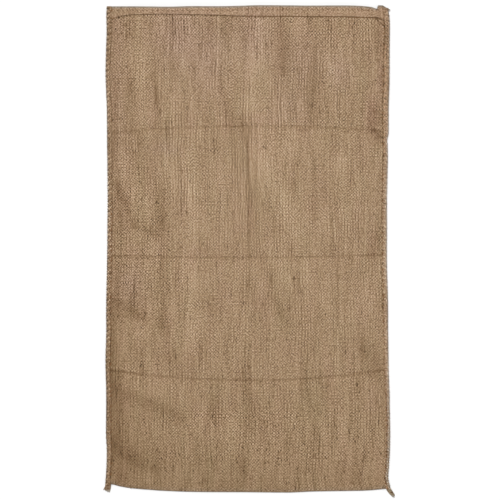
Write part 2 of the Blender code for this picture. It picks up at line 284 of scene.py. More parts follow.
def clothPath(across):
    thick, beside, count = sack["cloth"], cloth["besideFold"], cloth["betweenFolds"]
    edge, bottom = smooth(acrossRows, "hem", across), smooth(acrossRows, "bottom", across)
    downs = [edge + step for step in cloth["besideHem"]]
    folds = [foldDown(fold, across) for fold in crossFolds]
    starts = [downs[-1]] + [fold + beside[-1] for fold in folds]
    ends = [fold + beside[0] for fold in folds] + [bottom - 6.0]
    for number, (start, end) in enumerate(zip(starts, ends)):
        downs += [start + (end - start) * k / (count + 1) for k in range(1, count + 1)]
        downs += [folds[number] + step for step in beside] if number < len(folds) else []
    points = hemLayers(across, 1)
    points += [clothPoint(down, roof(across, down) + thick / 2, thick, "front") for down in downs]
    high, low = roof(across, bottom) + thick / 2, lift(across) + thick / 2
    radius = (high - low) / 2
    for k in range(cloth["bottomSteps"] + 1):
        angle = pi * k / cloth["bottomSteps"]
        down = bottom - radius - thick / 2 + radius * sin(angle)
        points.append(clothPoint(down, low + radius + radius * cos(angle), thick, "bottom"))
    for k in range(1, cloth["backRows"] + 1):
        down = bottom - 8.0 + (edge + 6.0 - bottom + 8.0) * k / cloth["backRows"]
        points.append(clothPoint(down, low, thick, "back"))
    return points + hemLayers(across, -1)[::-1]


# patches where the cloth is darker or lighter, and redder or greener: partly the jute's own uneven tone,
# partly painted light on the rises between the folds and painted shade in the long band down the left side
# and the broad one across the bottom; lean is how far across per step down
patches = rowsOf(
    "across down wide long tone tint lean",
    (-268, 187, 10, 30, -0.8, 0, 0.1), (-258, 290, 12, 60, -0.6, 0, 0.35), (-210, 215, 12, 85, -0.6, 0, 0.05),
    (-172, 50, 11, 28, -0.5, 0.3), (-170, 140, 8, 28, -0.5, -0.2, 0.1), (-100, 65, 8, 30, -0.4, 0.2),
    (-54, 55, 8, 26, -0.5, -0.4), (-46, 130, 10, 60, -0.1, -0.6), (-40, 245, 13, 40, -0.6, 0.2, 0.15),
    (-8, 265, 9, 26, -0.5, 0, 0.4), (78, 100, 14, 60, -0.6, 0, 0.05), (150, 185, 11, 80, -0.8, 0.1, -0.03),
    (166, 40, 6, 24, -0.4, 0.2), (301, 70, 13, 48, -0.8, 0.9), (306, 160, 9, 55, -0.1, 1),
    (289, 255, 16, 42, -0.8, 1, 0.1), (286, 225, 18, 22, 0, 0.8), (245, 250, 7, 46, -0.4, 0, -0.03),
    (262, 112, 7, 22, -0.4), (-197, 470, 11, 110, -0.65, 0, 0.06), (-292, 480, 12, 70, -0.45, 0, 0.1),
    (-225, 515, 12, 26, -0.4, -0.5), (-268, 475, 16, 22, -0.1, -0.4), (-198, 728, 17, 26, -0.4, -0.2),
    (-262, 680, 12, 42, -0.6, -0.2), (-218, 640, 20, 26, -0.1, -0.7), (-165, 805, 9, 32, -0.5, -0.2),
    (-82, 925, 11, 28, -0.8, 0, 0.1), (-5, 880, 15, 75, -0.3, -0.1, 0.08), (8, 950, 8, 50, -0.4),
    (-13, 672, 6, 16, -0.4, 0.2), (254, 868, 9, 28, -0.8, 0, -0.08), (269, 790, 11, 20, -0.7, 0, 0.1),
    (292, 555, 12, 36, -0.7, 0.6), (298, 822, 13, 34, -0.8, 0.5), (80, 715, 12, 44, -0.1, -0.5, 0.35),
    (86, 650, 22, 48, 0, -0.6, 0.1), (132, 820, 12, 60, -0.35, -0.4), (156, 965, 14, 75, -0.45, -0.4),
    (150, 890, 26, 60, 0, -0.7), (218, 755, 22, 44, 0, -0.7), (-70, 880, 24, 36, 0, -0.6),
    (-88, 1045, 13, 44, -0.35, -0.4), (96, 1000, 10, 34, -0.5, -0.3), (215, 1070, 18, 26, -0.5),
    (258, 1080, 10, 26, -0.6), (-10, 1060, 10, 46, -0.5), (-265, 1010, 75, 115, -0.45, -0.2),
    (-90, 1070, 130, 90, -0.2, -0.4), (-306, 850, 17, 210, -0.75), (-312, 300, 10, 90, -0.5, 0.2),
    (20, 110, 17, 80, 0.7), (10, 220, 22, 26, 0.7), (40, 360, 30, 80, 0.65, 0, 0.12),
    (90, 320, 12, 26, 0.7, 0, 0.1), (134, 325, 9, 24, 0.4), (-184, 355, 9, 56, 0.6, 0, 0.1),
    (-130, 410, 14, 80, 0.7, 0, 0.03), (-126, 580, 13, 60, 0.4, 0.5), (-128, 680, 18, 70, 0.7, 0, 0.1),
    (-116, 745, 14, 24, 0.5), (-60, 420, 16, 50, 0.4), (-30, 610, 45, 26, 0.35),
    (98, 470, 22, 75, 0.55, -0.2, 0.28), (90, 615, 10, 30, 0.7, -0.3), (192, 150, 9, 34, 0.7),
    (212, 345, 11, 32, 0.5), (226, 470, 8, 40, 0.6, 0, 0.05), (182, 620, 8, 60, 0.5, 0, 0.05),
    (142, 615, 10, 34, 0.35), (276, 660, 11, 36, 0.55), (278, 408, 11, 22, 0.5), (-252, 750, 26, 26, 0.55),
    (-285, 360, 11, 30, 0.35, 0, 0.2), (-36, 990, 12, 60, 0.35, -0.2), (-150, 150, 12, 100, 0.3, -0.1),
    (-240, 160, 8, 120, 0.3), (-220, 262, 12, 24, 0, 0.9), (-172, 282, 12, 18, 0, 0.7),
    (-130, 262, 14, 24, 0, 0.7), (-36, 272, 18, 12, 0, 0.6), (38, 260, 34, 14, 0.2, 0.9),
    (-10, 508, 16, 14, 0, 0.8), (4, 470, 7, 24, 0, 0.7), (-110, 562, 22, 14, 0, 0.7, -0.4),
    (-270, 562, 34, 14, 0, 0.6), (258, 445, 8, 20, 0, 0.7), (190, 525, 18, 12, 0, 0.4),
    (18, 683, 24, 14, 0, 0.6), (-118, 918, 9, 18, 0, 0.6), (-246, 838, 9, 18, 0, 0.5),
    (-300, 40, 14, 34, 0.1, 0.6), (-302, 13, 24, 11, -1.3, -3.4), (-304, 1068, 11, 36, 0.6),
    (306, 10, 7, 4, -0.8, 1), (300, 300, 9, 12, -0.3, 0.8), (293, 8, 8, 5, 2.8, 1),
    (-325, 520, 62, 900, -0.45), (0, 1140, 600, 420, -0.4, -0.1),
    defaults=(0, 0),
)
# painted shade in hollows that run aslant, low on the left and beside the folds, and in the ear's pleats,
# with painted highlight along one pleat's ridge where the depth is negative; the depth here is their tone
hollowShades = rowsOf(
    foldFields,
    (264, 9, 288, 21, 1, 1.2, 2.4), (286, 22, 297, 31, 0, 0.9, 2), (297, 31.5, 313, 45, 0, 1.3, 1.9),
    (296, 26.6, 303, 28.2, 0, 1.6, 1.9), (303, 28.2, 312, 33, 0, 1.6, 1.9),
    (301, 33.5, 313, 41, 0, -1.2, 1.9), (288, 282, 311, 302, 0, 0.9, 4), (-312, 872, -150, 946, 3, 0.5, 13),
    (-316, 668, -235, 722, 3, 0.6, 10), (-312, 1000, -210, 1062, -8, 0.5, 13),
    (-318, 1030, -292, 1080, 0, 0.5, 14), (-285, 310, -200, 505, 14, 0.3, 9), (60, 600, 128, 741, 0, 0.2, 10),
    (-30, 250, -8, 300, 0, 0.3, 8),
)
# where the jute is greyer and less yellow, on the upper part
blooms = rowsOf(
    "across down wide long share",
    (-165, 65, 48, 75, 1), (-85, 110, 50, 80, 0.8), (15, 60, 42, 75, 0.8), (120, 125, 60, 62, 0.6),
    (212, 150, 24, 40, 0.7), (95, 230, 40, 44, 0.5), (-190, 325, 40, 18, 0.6), (-270, 640, 36, 44, 0.8),
    (-300, 150, 24, 300, 0.5),
)
# the brown row of stitch holes beside each seam: how far in it lies and how strong it is
dustRows = rowsOf(
    "down leftIn leftShare rightIn rightShare",
    (0, 11, 0.6, 13, 0.2), (22, 11, 0.6, 13.2, 0.3), (40, 11, 0.5, 13.4, 1.2), (60, 11, 0.5, 13.6, 1.3),
    (200, 11, 0.5, 14.6, 1.2), (290, 10.8, 0.55, 14.5, 1.2), (340, 10.8, 0.65, 11, 1),
    (600, 10.8, 1.1, 11.2, 1), (850, 11.5, 1.1, 10, 1), (900, 11.5, 1.1, 8.4, 1.3), (1113, 12, 1.2, 8.2, 1.3),
)
pressing = {  # the weave lies flatter, and shows less: how much, from where down and over how much more
    "low": (0.25, 800.0, 300.0),
    "lowest": (0.45, 1010.0, 70.0),
    "corner": (0.5, 480.0, 300.0),
    "cornerAcross": (-290.0, 90.0),
    "besideSeam": (0.6, 22.0),
}
# the cloth's dust, and its painted shading: painted shade along the folds' bottoms, in creases and dents,
# beneath the hem's edge, towards the bottom fold and on edges that turn from the light, and painted highlight
# on the folds' lips
dustAndPaintedShading = {
    "foldLine": (0.20, 0.22, 0.22),  # how dark the painted shade along each packing fold's bottom is
    "foldLeft": (0.2, 0.6, 1.4),  # and how much darker towards its left end
    "foldRight": (0.6, 0.1, 0.7),
    "foldEnds": (225.0, 75.0),
    "foldPatchy": (1.5, 27.0, 0.1),  # how uneven it is, over what length, and the least of it
    "foldWander": (2.6, 22.0),
    "foldWidth": 3.3,
    "foldShadeBrown": 0.30,
    "foldLip": (0.14, 6.5, 4.0),  # how pale the painted highlight on the lip above each one is, how far up and how wide
    # painted shade along the creases
    "crease": 1.5,
    "dent": 0.14,  # how dark the painted shade in the broad dents is, and how light on the one ridge
    # painted shade, darker towards the bottom fold: how dark, from how far above it and over how much
    "bottom": (0.18, 45.0, 30.0),
    "groove": (2.1, 0.6, 1.3),  # the painted shadow line beneath the hem's edge: how dark, how far below it and how wide
    "grooveLeft": (0.25, -130.0, 60.0),  # it is fainter towards both sides
    "grooveRight": (0.25, 280.0, 14.0),
    "grooveShadeBrown": 0.6,
    "dustWidth": 1.9,
    "dustDark": 0.65,
    "dustPatchy": (0.70, 1.5, 14.0, 0.2),
    "dustWander": (1.6, 13.0),
    "dustSeeds": (5.0, 12.0),
    "hemTone": (0.30, 0.3),  # the hem's own, and how much of the cloth's marks it takes
    "hemTint": (0.65, 0.5),
    "hemDust": (0.6, 0.10, 0.8),  # how dark, and how brown
    # the mouth's rounded edge, greyer and darker: a painted shade where it turns from the light, darker still
    # at the ear; below, over and how dark
    "rim": (5.4, 2.8, 0.25),
    "ear": (296.0, 4.0),
    "bottomRim": (0.8, 3.5, 2.5),
}


def pressedShare(across, down):
    low, lowest, corner = (
        share * ease((down - start) / over)
        for share, start, over in (pressing[name] for name in ("low", "lowest", "corner"))
    )
    share, reach = pressing["besideSeam"]
    middle, wide = pressing["cornerAcross"]
    return min(low + lowest + share * exp(-inset(across) / reach) + corner * hump(across - middle, wide), 1.0)


def patchMarks(across, down):
    tone, tint = -depthOf(hollowShades, across, down), 0.0
    for patch in patches:
        weight = oval(patch, across, down, patch.lean)
        tone += patch.tone * weight
        tint += patch.tint * weight
    return tone, tint


def seamDust(across, down):
    nearby, seed = ("left", dustAndPaintedShading["dustSeeds"][0]) if across < 0 else ("right", dustAndPaintedShading["dustSeeds"][1])
    wander, over = dustAndPaintedShading["dustWander"]
    plain, uneasy, every, least = dustAndPaintedShading["dustPatchy"]
    off = inset(across) - smooth(dustRows, nearby + "In", down) - wander * ripple(down / over, seed, 4.0)
    patchy = max(plain + uneasy * ripple(down / every, seed, 0.0), least)
    return smooth(dustRows, nearby + "Share", down) * patchy * hump(off, dustAndPaintedShading["dustWidth"])


def foldShade(across, down):
    # painted shade along the packing folds' bottoms, each line patchy and darker towards its ends, and
    # painted highlight on the lips above them
    line = lips = 0.0
    pale, up, wide = dustAndPaintedShading["foldLip"]
    uneasy, every, least = dustAndPaintedShading["foldPatchy"]
    wander, over = dustAndPaintedShading["foldWander"]
    ends = ease((abs(across) - dustAndPaintedShading["foldEnds"][0]) / dustAndPaintedShading["foldEnds"][1])
    for number, fold in enumerate(crossFolds):
        strength = max(1.0 + uneasy * ripple(across / every, 9.0 * number, 0.0), least)
        strength += dustAndPaintedShading["foldLeft" if across < 0 else "foldRight"][number] * ends
        off = down - foldDown(fold, across) - wander * ripple(across / over, 5.0 * number, 0.0)
        line += dustAndPaintedShading["foldLine"][number] * strength * hump(off, dustAndPaintedShading["foldWidth"])
        lips += pale * strength * hump(off + up, wide)
    return line, lips


def grooveShade(across, down):
    # the painted shadow line beneath the hem's edge
    dark, below, wide = dustAndPaintedShading["groove"]
    groove = hump(down - smooth(acrossRows, "hem", across) - below, wide)
    for name, sign in (("grooveLeft", -1), ("grooveRight", 1)):
        less, start, over = dustAndPaintedShading[name]
        groove *= 1.0 - less * ease((across - start) * sign / over)
    return groove, dark


def clothMarks(across, point):
    # tone, tint, rust and rim of one place: how dark, with painted light and shade in it; how red; how brown
    # with dust, and with painted shade along the folds' bottoms and beneath the hem's edge; how grey with
    # painted shade where an edge turns away from the light
    down = point.down
    bottom = smooth(acrossRows, "bottom", across)
    if point.zone in ("front", "bottom"):
        tone, tint = patchMarks(across, down)
        line, lips = foldShade(across, down)
        groove, dark = grooveShade(across, down)
        dusty = seamDust(across, down)
        low, above, over = dustAndPaintedShading["bottom"]
        # painted shade in the creases, the dents, along the folds' bottoms, beneath the hem's edge and
        # towards the bottom fold, painted highlight on the folds' lips, and brown dust by the seams
        tone -= dustAndPaintedShading["crease"] * max(depthOf(creases, across, down), 0.0)
        tone -= dustAndPaintedShading["dent"] * depthOf(otherFolds, across, down)
        tone += lips - line - low * ease((down - bottom + above) / over)
        tone -= dark * groove + dustAndPaintedShading["dustDark"] * dusty
        rust = dusty + dustAndPaintedShading["grooveShadeBrown"] * groove + dustAndPaintedShading["foldShadeBrown"] * line
    elif point.zone in ("hem", "edge"):
        tone, tint = patchMarks(across, down)
        dusty = seamDust(across, down)
        (toneAt, toneShare), (tintAt, tintShare) = dustAndPaintedShading["hemTone"], dustAndPaintedShading["hemTint"]
        dark, rust, rusty = dustAndPaintedShading["hemDust"]
        tone, tint = toneShare * tone + toneAt - dark * dusty, tintShare * tint + tintAt
        rust += rusty * dusty
    else:
        tone, tint = patchMarks(-across, sack["length"] - down)
        rust = 0.0
    # greyer and darker at the bottom fold's edge and the mouth's edge: painted shade where they turn from the
    # light
    rim = 0.0
    if point.zone == "bottom":
        share, above, over = dustAndPaintedShading["bottomRim"]
        rim = share * ease((down - bottom + above) / over)
        tone -= rim
    if point.zone in ("rim", "hem"):
        below, over, dark = dustAndPaintedShading["rim"]
        rim = ease((smooth(acrossRows, "mouth", across) + below - down) / over)
        tone -= (dark + ease((across - dustAndPaintedShading["ear"][0]) / dustAndPaintedShading["ear"][1])) * rim
    return tone, tint, rust, rim


def selectOnly(piece):
    bpy.ops.object.select_all(action="DESELECT")
    piece.select_set(True)
    bpy.context.view_layer.objects.active = piece


def setShares(mesh, name, kind, key, shares):
    mesh.attributes.new(name, kind, "POINT").data.foreach_set(key, shares)


def setMarks(mesh, marks, weave):
    # tone and tint about a middle of 0.5, then rust and rim; and the weave's own map, in metres
    flat = []
    for tone, tint, rust, rim in marks:
        flat += [0.5 + 0.25 * tone, 0.5 + 0.25 * tint, rust, rim]
    setShares(mesh, "marks", "FLOAT_COLOR", "color", flat)
    layer = mesh.uv_layers.active or mesh.uv_layers.new(name="weave")
    layer.name = "weave"
    flat = []
    for loop in mesh.loops:
        flat += weave[loop.vertex_index]
    layer.data.foreach_set("uv", flat)


def alongCloth(path, first):
    # how far along the cloth each point of a column lies, counted from the mouth
    runs = [0.0] * len(path)
    runs[first] = path[first].down
    steps = [(i, i - 1, 1, "front") for i in range(first + 1, len(path))]
    steps += [(i, i + 1, -1, "under") for i in range(first - 1, -1, -1)]
    for i, last, sign, level in steps:
        step = hypot(path[i].down - path[last].down, path[i].height - path[last].height)
        runs[i] = path[i].down if path[i].zone == level else runs[last] + sign * step
    return runs


def thicken(sheet, weights):
    # the cloth's two faces; in the hem and by the seams its layers are pressed thinner
    thickness = sheet.vertex_groups.new(name="thickness")
    for index, weight in enumerate(weights):
        thickness.add([index], weight, "REPLACE")
    shell = sheet.modifiers.new("thickness", "SOLIDIFY")
    shell.thickness = mm * sack["cloth"]
    shell.offset = 0.0
    shell.vertex_group = "thickness"
    selectOnly(sheet)
    bpy.ops.object.modifier_apply(modifier="thickness")
    bpy.ops.object.shade_smooth_by_angle(angle=radians(60))


def makeCloth():
    columns = [start + step * k for start, step, count in cloth["columnBands"] for k in range(count)]
    paths = [clothPath(across) for across in columns]
    zones = [point.zone for point in paths[0]]
    first = zones.index("front")
    lastFront = len(zones) - 1 - zones[::-1].index("front")
    runs = [alongCloth(path, first) for path in paths]
    bpy.ops.mesh.primitive_grid_add(x_subdivisions=len(columns) - 1, y_subdivisions=len(zones) - 1)
    sheet = bpy.context.object
    sheet.name = "sackCloth"
    places, marks, weave, weights, hemmed, greyer, flatter = [], [], [], [], [], [], []
    for i, zone in enumerate(zones):
        for column, across in enumerate(columns):
            point = paths[column][i]
            height, down = point.height, point.down
            if i <= lastFront:
                height += uneven(across, down)
            if i <= lastFront and zone in ("front", "hem"):
                height -= depthOf(creases, across, down)
            places += drifted(across, down, height)
            marks.append(clothMarks(across, point))
            upper = i < len(zones) // 2
            greyer.append(sum(bloom.share * oval(bloom, across, down) for bloom in blooms) if upper else 0.0)
            flatter.append(pressedShare(across, down))
            weave.append((mm * (across + side), mm * runs[column][i]))
            weights.append(point.thick / sack["cloth"])
            hemmed.append(zone in ("hem", "edge", "rim") and i < first)
    sheet.data.vertices.foreach_set("co", places)
    setMarks(sheet.data, marks, weave)
    setShares(sheet.data, "bloom", "FLOAT", "value", greyer)
    setShares(sheet.data, "pressed", "FLOAT", "value", flatter)
    sheet.data.materials.clear()
    sheet.data.materials.append(hessian)
    sheet.data.materials.append(hemHessian)
    for face in sheet.data.polygons:
        face.material_index = int(all(hemmed[index] for index in face.vertices))
    thicken(sheet, weights)
    return sheet


looks = {
    "hessian": (0.337, 0.226, 0.133),
    "deepen": (1.0, 1.18, 1.42),
    "gap": 0.85,
    "pink": (0.350, 0.220, 0.142),
    "olive": (0.315, 0.229, 0.126),
    "bloom": (0.338, 0.222, 0.150),
    "rust": (0.190, 0.090, 0.036),
    "edgeShadeGrey": (0.298, 0.247, 0.189),
    "duskyTwine": (0.390, 0.290, 0.200),
    "tailStain": (0.175, 0.090, 0.040),
    "tailEnd": (0.400, 0.365, 0.310),
    "yarnPitch": 3.36,
    "toneStrength": 0.50,
    "wander": 0.8,
    "jitter": 0.25,
    "checker": 0.50,  # how much lighter the warps are painted than the wefts: painted light on their crowns
    "pairs": 0.10,  # how much every second warp stands out, and every second weft
    "rows": 0.045,
    "lumps": 0.40,  # uneven yarns
    "flatter": 0.40,  # how much less the weave shows where it is pressed
    "vague": 0.05,
    "broad": 0.068,
    "fibres": 0.05,
    "streaks": 0.09,
    "slubs": 0.38,  # short thick places in the yarn, that show dark
    "darkWarps": 0.14,  # here and there one long thin yarn is darker
    "warpShade": 0.14,
    "weftShade": 0.06,
    "gapWidth": 0.30,
    "yarnRound": 0.55,  # a yarn's own height, and how far it rises and dips where it crosses others
    "yarnDip": 0.45,
    "slubSize": (46.0, 0.03, 0.11),
    "darkWarpAt": (0.62, 0.68),
    "tintWander": 0.55,
    "bloomMost": 0.8,
    "edgeShadeMost": 0.95,
    "rustMost": 0.85,
    "darkest": 0.12,
    "roughness": 0.94,
    "specular": 0.18,
}
grains = {  # the weave's unevennesses: stretch along the warp, seed, fineness, detail and roughness
    "wanderAcross": (1.0, 0.0, 9.0, 1.0, 0.5),
    "wanderDown": (1.0, 5.0, 13.0, 1.0, 0.5),
    "jitterAcross": (3.0, 9.0, 30.0, 0.0, 0.5),
    "broad": (5.0, 11.0, 11.0, 3.0, 0.5),
    "tinting": (4.0, 21.0, 8.0, 2.0, 0.5),
    "fibres": (2.2, 31.0, 900.0, 2.0, 0.6),
    "lumps": (1.15, 41.0, 280.0, 0.0, 0.5),
    "vague": (1.3, 51.0, 110.0, 0.0, 0.5),
    "streaks": (11.0, 71.0, 15.0, 1.0, 0.5),
    "crisp": (1.0, 61.0, 55.0, 1.0, 0.5),
    "paired": (2.6, 3.0, 9.0, 1.0, 0.5),
    "dust": (1.0, 81.0, 190.0, 1.0, 0.5),
}
loom = {}  # the node tree that is being filled


def feed(socket, value):
    if isinstance(value, bpy.types.NodeSocket):
        loom["tree"].links.new(value, socket)
    elif isinstance(value, tuple) and socket.type == "RGBA":
        socket.default_value = (*value, 1.0)
    else:
        socket.default_value = value


def addNode(kind, values, **settings):
    node = loom["tree"].nodes.new(kind)
    for name, value in settings.items():
        setattr(node, name, value)
    for name, value in values.items():
        feed(node.inputs[name], value)
    return node


def calc(operation, *values, clamp=False):
    return addNode("ShaderNodeMath", dict(enumerate(values)), operation=operation, use_clamp=clamp).outputs[0]


def chain(operation, first, *others):
    for other in others:
        first = calc(operation, first, other)
    return first


def times(*values):
    return chain("MULTIPLY", *values)


def total(*values):
    return chain("ADD", *values)


def remap(value, low, high, newLow, newHigh):
    values = dict(enumerate((value, low, high, newLow, newHigh)))
    return addNode("ShaderNodeMapRange", values, clamp=True).outputs[0]


def even(value, amount, low=0.3, high=0.7):
    return times(remap(value, low, high, -1.0, 1.0), amount)


def blendColour(factor, first, second, mode="MIX"):
    values = {0: factor, 6: first, 7: second}
    return addNode("ShaderNodeMix", values, data_type="RGBA", blend_type=mode, clamp_factor=True).outputs[2]


def grain(x, y, z, scale, detail=2.0, rough=0.5):
    spot = addNode("ShaderNodeCombineXYZ", {0: x, 1: y, 2: z}).outputs[0]
    values = {"Vector": spot, "Scale": scale, "Detail": detail, "Roughness": rough}
    return addNode("ShaderNodeTexNoise", values, noise_dimensions="3D").outputs[0]


def yarnGrain(yarn, apart, along, drift, seed, detail=2.0):
    # one value for each yarn, which drifts along it
    return grain(times(calc("FLOOR", yarn), apart), times(along, drift), seed, 1.0, detail)


def speckle(where, scale, detail):
    return addNode("ShaderNodeTexNoise", {"Vector": where, "Scale": scale, "Detail": detail}).outputs[0]


def shareOf(name):
    return addNode("ShaderNodeAttribute", {}, attribute_name=name, attribute_type="GEOMETRY")


def newLook(name):
    made = bpy.data.materials.new(name)
    made.use_nodes = True
    loom["tree"] = made.node_tree
    return made


def finishLook(colour, level, rust, relief, strength, distance):
    # jute that is darker is also browner
    shader = loom["tree"].nodes["Principled BSDF"]
    parts = {k: calc("POWER", level, power) for k, power in enumerate(looks["deepen"])}
    deep = addNode("ShaderNodeCombineColor", parts).outputs[0]
    colour = blendColour(1.0, colour, deep, "MULTIPLY")
    feed(shader.inputs["Base Color"], blendColour(rust, colour, looks["rust"]) if rust else colour)
    bump = addNode("ShaderNodeBump", {"Strength": strength, "Distance": distance, "Height": relief})
    feed(shader.inputs["Normal"], bump.outputs[0])
    shader.inputs["Roughness"].default_value = looks["roughness"]
    shader.inputs["Specular IOR Level"].default_value = looks["specular"]


def clothColour(tint, edgeShade):
    # redder or greener by its tint, then greyer in the blooms, and greyer where an edge turns away from the
    # light, a painted shade
    colour = blendColour(calc("MULTIPLY", tint, 0.5, clamp=True), looks["hessian"], looks["pink"])
    colour = blendColour(calc("MULTIPLY", tint, -0.5, clamp=True), colour, looks["olive"])
    greyer = calc("MULTIPLY", shareOf("bloom").outputs["Fac"], looks["bloomMost"], clamp=True)
    colour = blendColour(greyer, colour, looks["bloom"])
    return blendColour(calc("MULTIPLY", edgeShade, looks["edgeShadeMost"], clamp=True), colour, looks["edgeShadeGrey"])


def stitchDust(v, rust, patchy, spotted):
    # brown dust, thickest round each stitch hole
    spots = calc("SINE", times(v, 2000.0 * pi / sack["stitchPitch"]))
    spots = calc("MULTIPLY_ADD", spots, spotted, 1.0 - spotted)
    spots = times(rust, times(spots, remap(patchy, 0.38, 0.62, 0.0, 2.0)))
    return calc("MULTIPLY", spots, looks["rustMost"], clamp=True)


def woven(name, contrast=1.0, spotted=0.40):
    made = newLook(name)
    where = addNode("ShaderNodeUVMap", {}, uv_map="weave").outputs[0]
    u, v = addNode("ShaderNodeSeparateXYZ", {0: where}).outputs[:2]
    field = {}
    for key, (stretch, seed, *fineness) in grains.items():
        field[key] = grain(times(u, stretch), v, seed, *fineness)
    # yarns wander a little, so the weave is never quite even
    perYarn = 1000.0 / looks["yarnPitch"]
    shift, jitter = looks["wander"], looks["jitter"]
    jitterDown = grain(u, times(v, 3.0), 7.0, 30.0, 0.0)
    x = total(times(u, perYarn), even(field["wanderAcross"], shift), even(field["jitterAcross"], jitter))
    y = total(times(v, perYarn), even(field["wanderDown"], shift), even(jitterDown, jitter))
    sineX, sineY = calc("SINE", times(x, pi)), calc("SINE", times(y, pi))
    over = times(sineX, sineY, looks["yarnDip"])
    warp = calc("MULTIPLY_ADD", calc("ABSOLUTE", sineX), looks["yarnRound"], over)
    weft = calc("SUBTRACT", times(calc("ABSOLUTE", sineY), looks["yarnRound"]), over)
    height = calc("SMOOTH_MAX", warp, weft, 0.08)
    spot = addNode("ShaderNodeCombineXYZ", {0: u, 1: times(v, 0.4)}).outputs[0]
    fine, near, far = looks["slubSize"]
    knots = addNode("ShaderNodeTexVoronoi", {"Vector": spot, "Scale": fine}, voronoi_dimensions="2D")
    slub = remap(knots.outputs["Distance"], near, far, 1.0, 0.0)
    darkWarps = remap(yarnGrain(x, 3.77, v, 8.0, 90.0, 0.0), *looks["darkWarpAt"], 0.0, 1.0)
    marks = shareOf("marks")
    parts = addNode("ShaderNodeSeparateColor", {0: marks.outputs["Color"]}).outputs
    tone, tint = (calc("SUBTRACT", times(part, 4.0), 2.0) for part in (parts[0], parts[1]))
    colour = clothColour(total(even(field["tinting"], looks["tintWander"]), tint), marks.outputs["Alpha"])
    # warps stand proud of the wefts, in pairs, and the gaps between yarns are dark: painted light on the
    # yarns' crowns and painted shade in the gaps, over and above the bump
    relief = total(
        times(sineX, sineY, remap(field["crisp"], 0.3, 0.7, 0.5, 1.5), looks["checker"] * contrast),
        times(sineX, remap(field["paired"], 0.32, 0.66, 0.25, 1.75), looks["pairs"] * contrast),
        times(sineY, looks["rows"] * contrast),
        even(field["lumps"], looks["lumps"] * contrast),
        even(field["vague"], looks["vague"] * contrast),
    )
    level = total(
        1.0,
        times(relief, calc("MULTIPLY_ADD", shareOf("pressed").outputs["Fac"], -looks["flatter"], 1.0)),
        even(field["broad"], looks["broad"]),
        even(field["streaks"], looks["streaks"] * contrast),
        times(slub, -looks["slubs"]),
        times(darkWarps, -looks["darkWarps"]),
        even(field["fibres"], looks["fibres"]),
        even(yarnGrain(y, 5.17, u, 14.0, 40.0), looks["weftShade"], 0.22, 0.78),
        even(yarnGrain(x, 7.31, v, 9.0, 0.0), looks["warpShade"], 0.22, 0.78),
    )
    level = times(level, remap(height, 0.02, looks["gapWidth"], looks["gap"], 1.0))
    level = times(level, calc("MAXIMUM", calc("MULTIPLY_ADD", tone, looks["toneStrength"] * 0.5, 1.0), 0.2))
    level = calc("MAXIMUM", level, looks["darkest"])
    dust = stitchDust(v, parts[2], field["dust"], spotted)
    finishLook(colour, level, dust, calc("MULTIPLY_ADD", field["fibres"], 0.15, height), 0.6, 0.0006)
    return made


def spun(name, colour, stripe=1300.0, wornTo=None, duskyTo=None):
    # twine: strands that twist round each other, with loose fibres; it may turn dusky or worn towards one end
    made = newLook(name)
    where = addNode("ShaderNodeTexCoord", {}).outputs["Object"]
    x, y, z = addNode("ShaderNodeSeparateXYZ", {0: where}).outputs
    ramp = total(times(x, 0.8), times(y, 1.3), times(z, 0.9))
    strand = calc("MULTIPLY_ADD", calc("SINE", times(ramp, stripe * 2.0)), 0.5, 0.5)
    fibres = speckle(where, 1400.0, 2.0)
    level = calc("MULTIPLY_ADD", strand, 0.30, 0.68)
    level = total(level, even(fibres, 0.16, 0.25, 0.75), even(speckle(where, 60.0, 1.0), 0.18))
    if duskyTo:
        colour = blendColour(remap(y, *duskyTo, 1.0, 0.0), colour, looks["duskyTwine"])
    if wornTo:
        stained = remap(speckle(where, 190.0, 1.0), 0.52, 0.62, 0.0, 0.8)
        colour = blendColour(stained, colour, looks["tailStain"])
        colour = blendColour(remap(y, *wornTo, 1.0, 0.0), colour, looks["tailEnd"])
    finishLook(colour, level, None, calc("MULTIPLY_ADD", fibres, 0.4, strand), 0.7, 0.0005)
    return made


hessian = woven("hessianWeave", spotted=0.60)
hemHessian = woven("hemWeave", contrast=0.62)
seamHessian = woven("seamWeave", spotted=0.0)
sheet = makeCloth()
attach(sheet, "root")
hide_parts("sack_cloth")
print("cloth:", len(sheet.data.polygons), "faces")

twineLooks = {  # duskyTo and wornTo: where the twine turns dusky or worn, in metres up the sack
    "seamTwineLeft": {"colour": (0.300, 0.195, 0.120)},
    "seamTwineRight": {"colour": (0.500, 0.350, 0.240), "duskyTo": (-0.45, -0.33)},
    "earTwineEnd": {"colour": (0.185, 0.145, 0.100)},
    "hemTwine": {"colour": (0.430, 0.300, 0.195)},
    "hemStitchShade": {"colour": (0.150, 0.082, 0.040)},
    "fleckTwine": {"colour": (0.100, 0.053, 0.022), "stripe": 300.0},
    "holeDust": {"colour": (0.090, 0.040, 0.014), "stripe": 300.0},
    "lozengeTwine": {"colour": (0.660, 0.430, 0.270)},
    "looseFibre": {"colour": (0.400, 0.285, 0.180), "stripe": 300.0},
    "leftTailTwine": {"colour": (0.350, 0.245, 0.160), "stripe": 900.0, "wornTo": (-0.5535, -0.5500)},
    "rightTailTwine": {"colour": (0.320, 0.262, 0.178), "stripe": 900.0, "wornTo": (-0.5645, -0.5625)},
}
twineOf = {name: spun(name, **values) for name, values in twineLooks.items()}

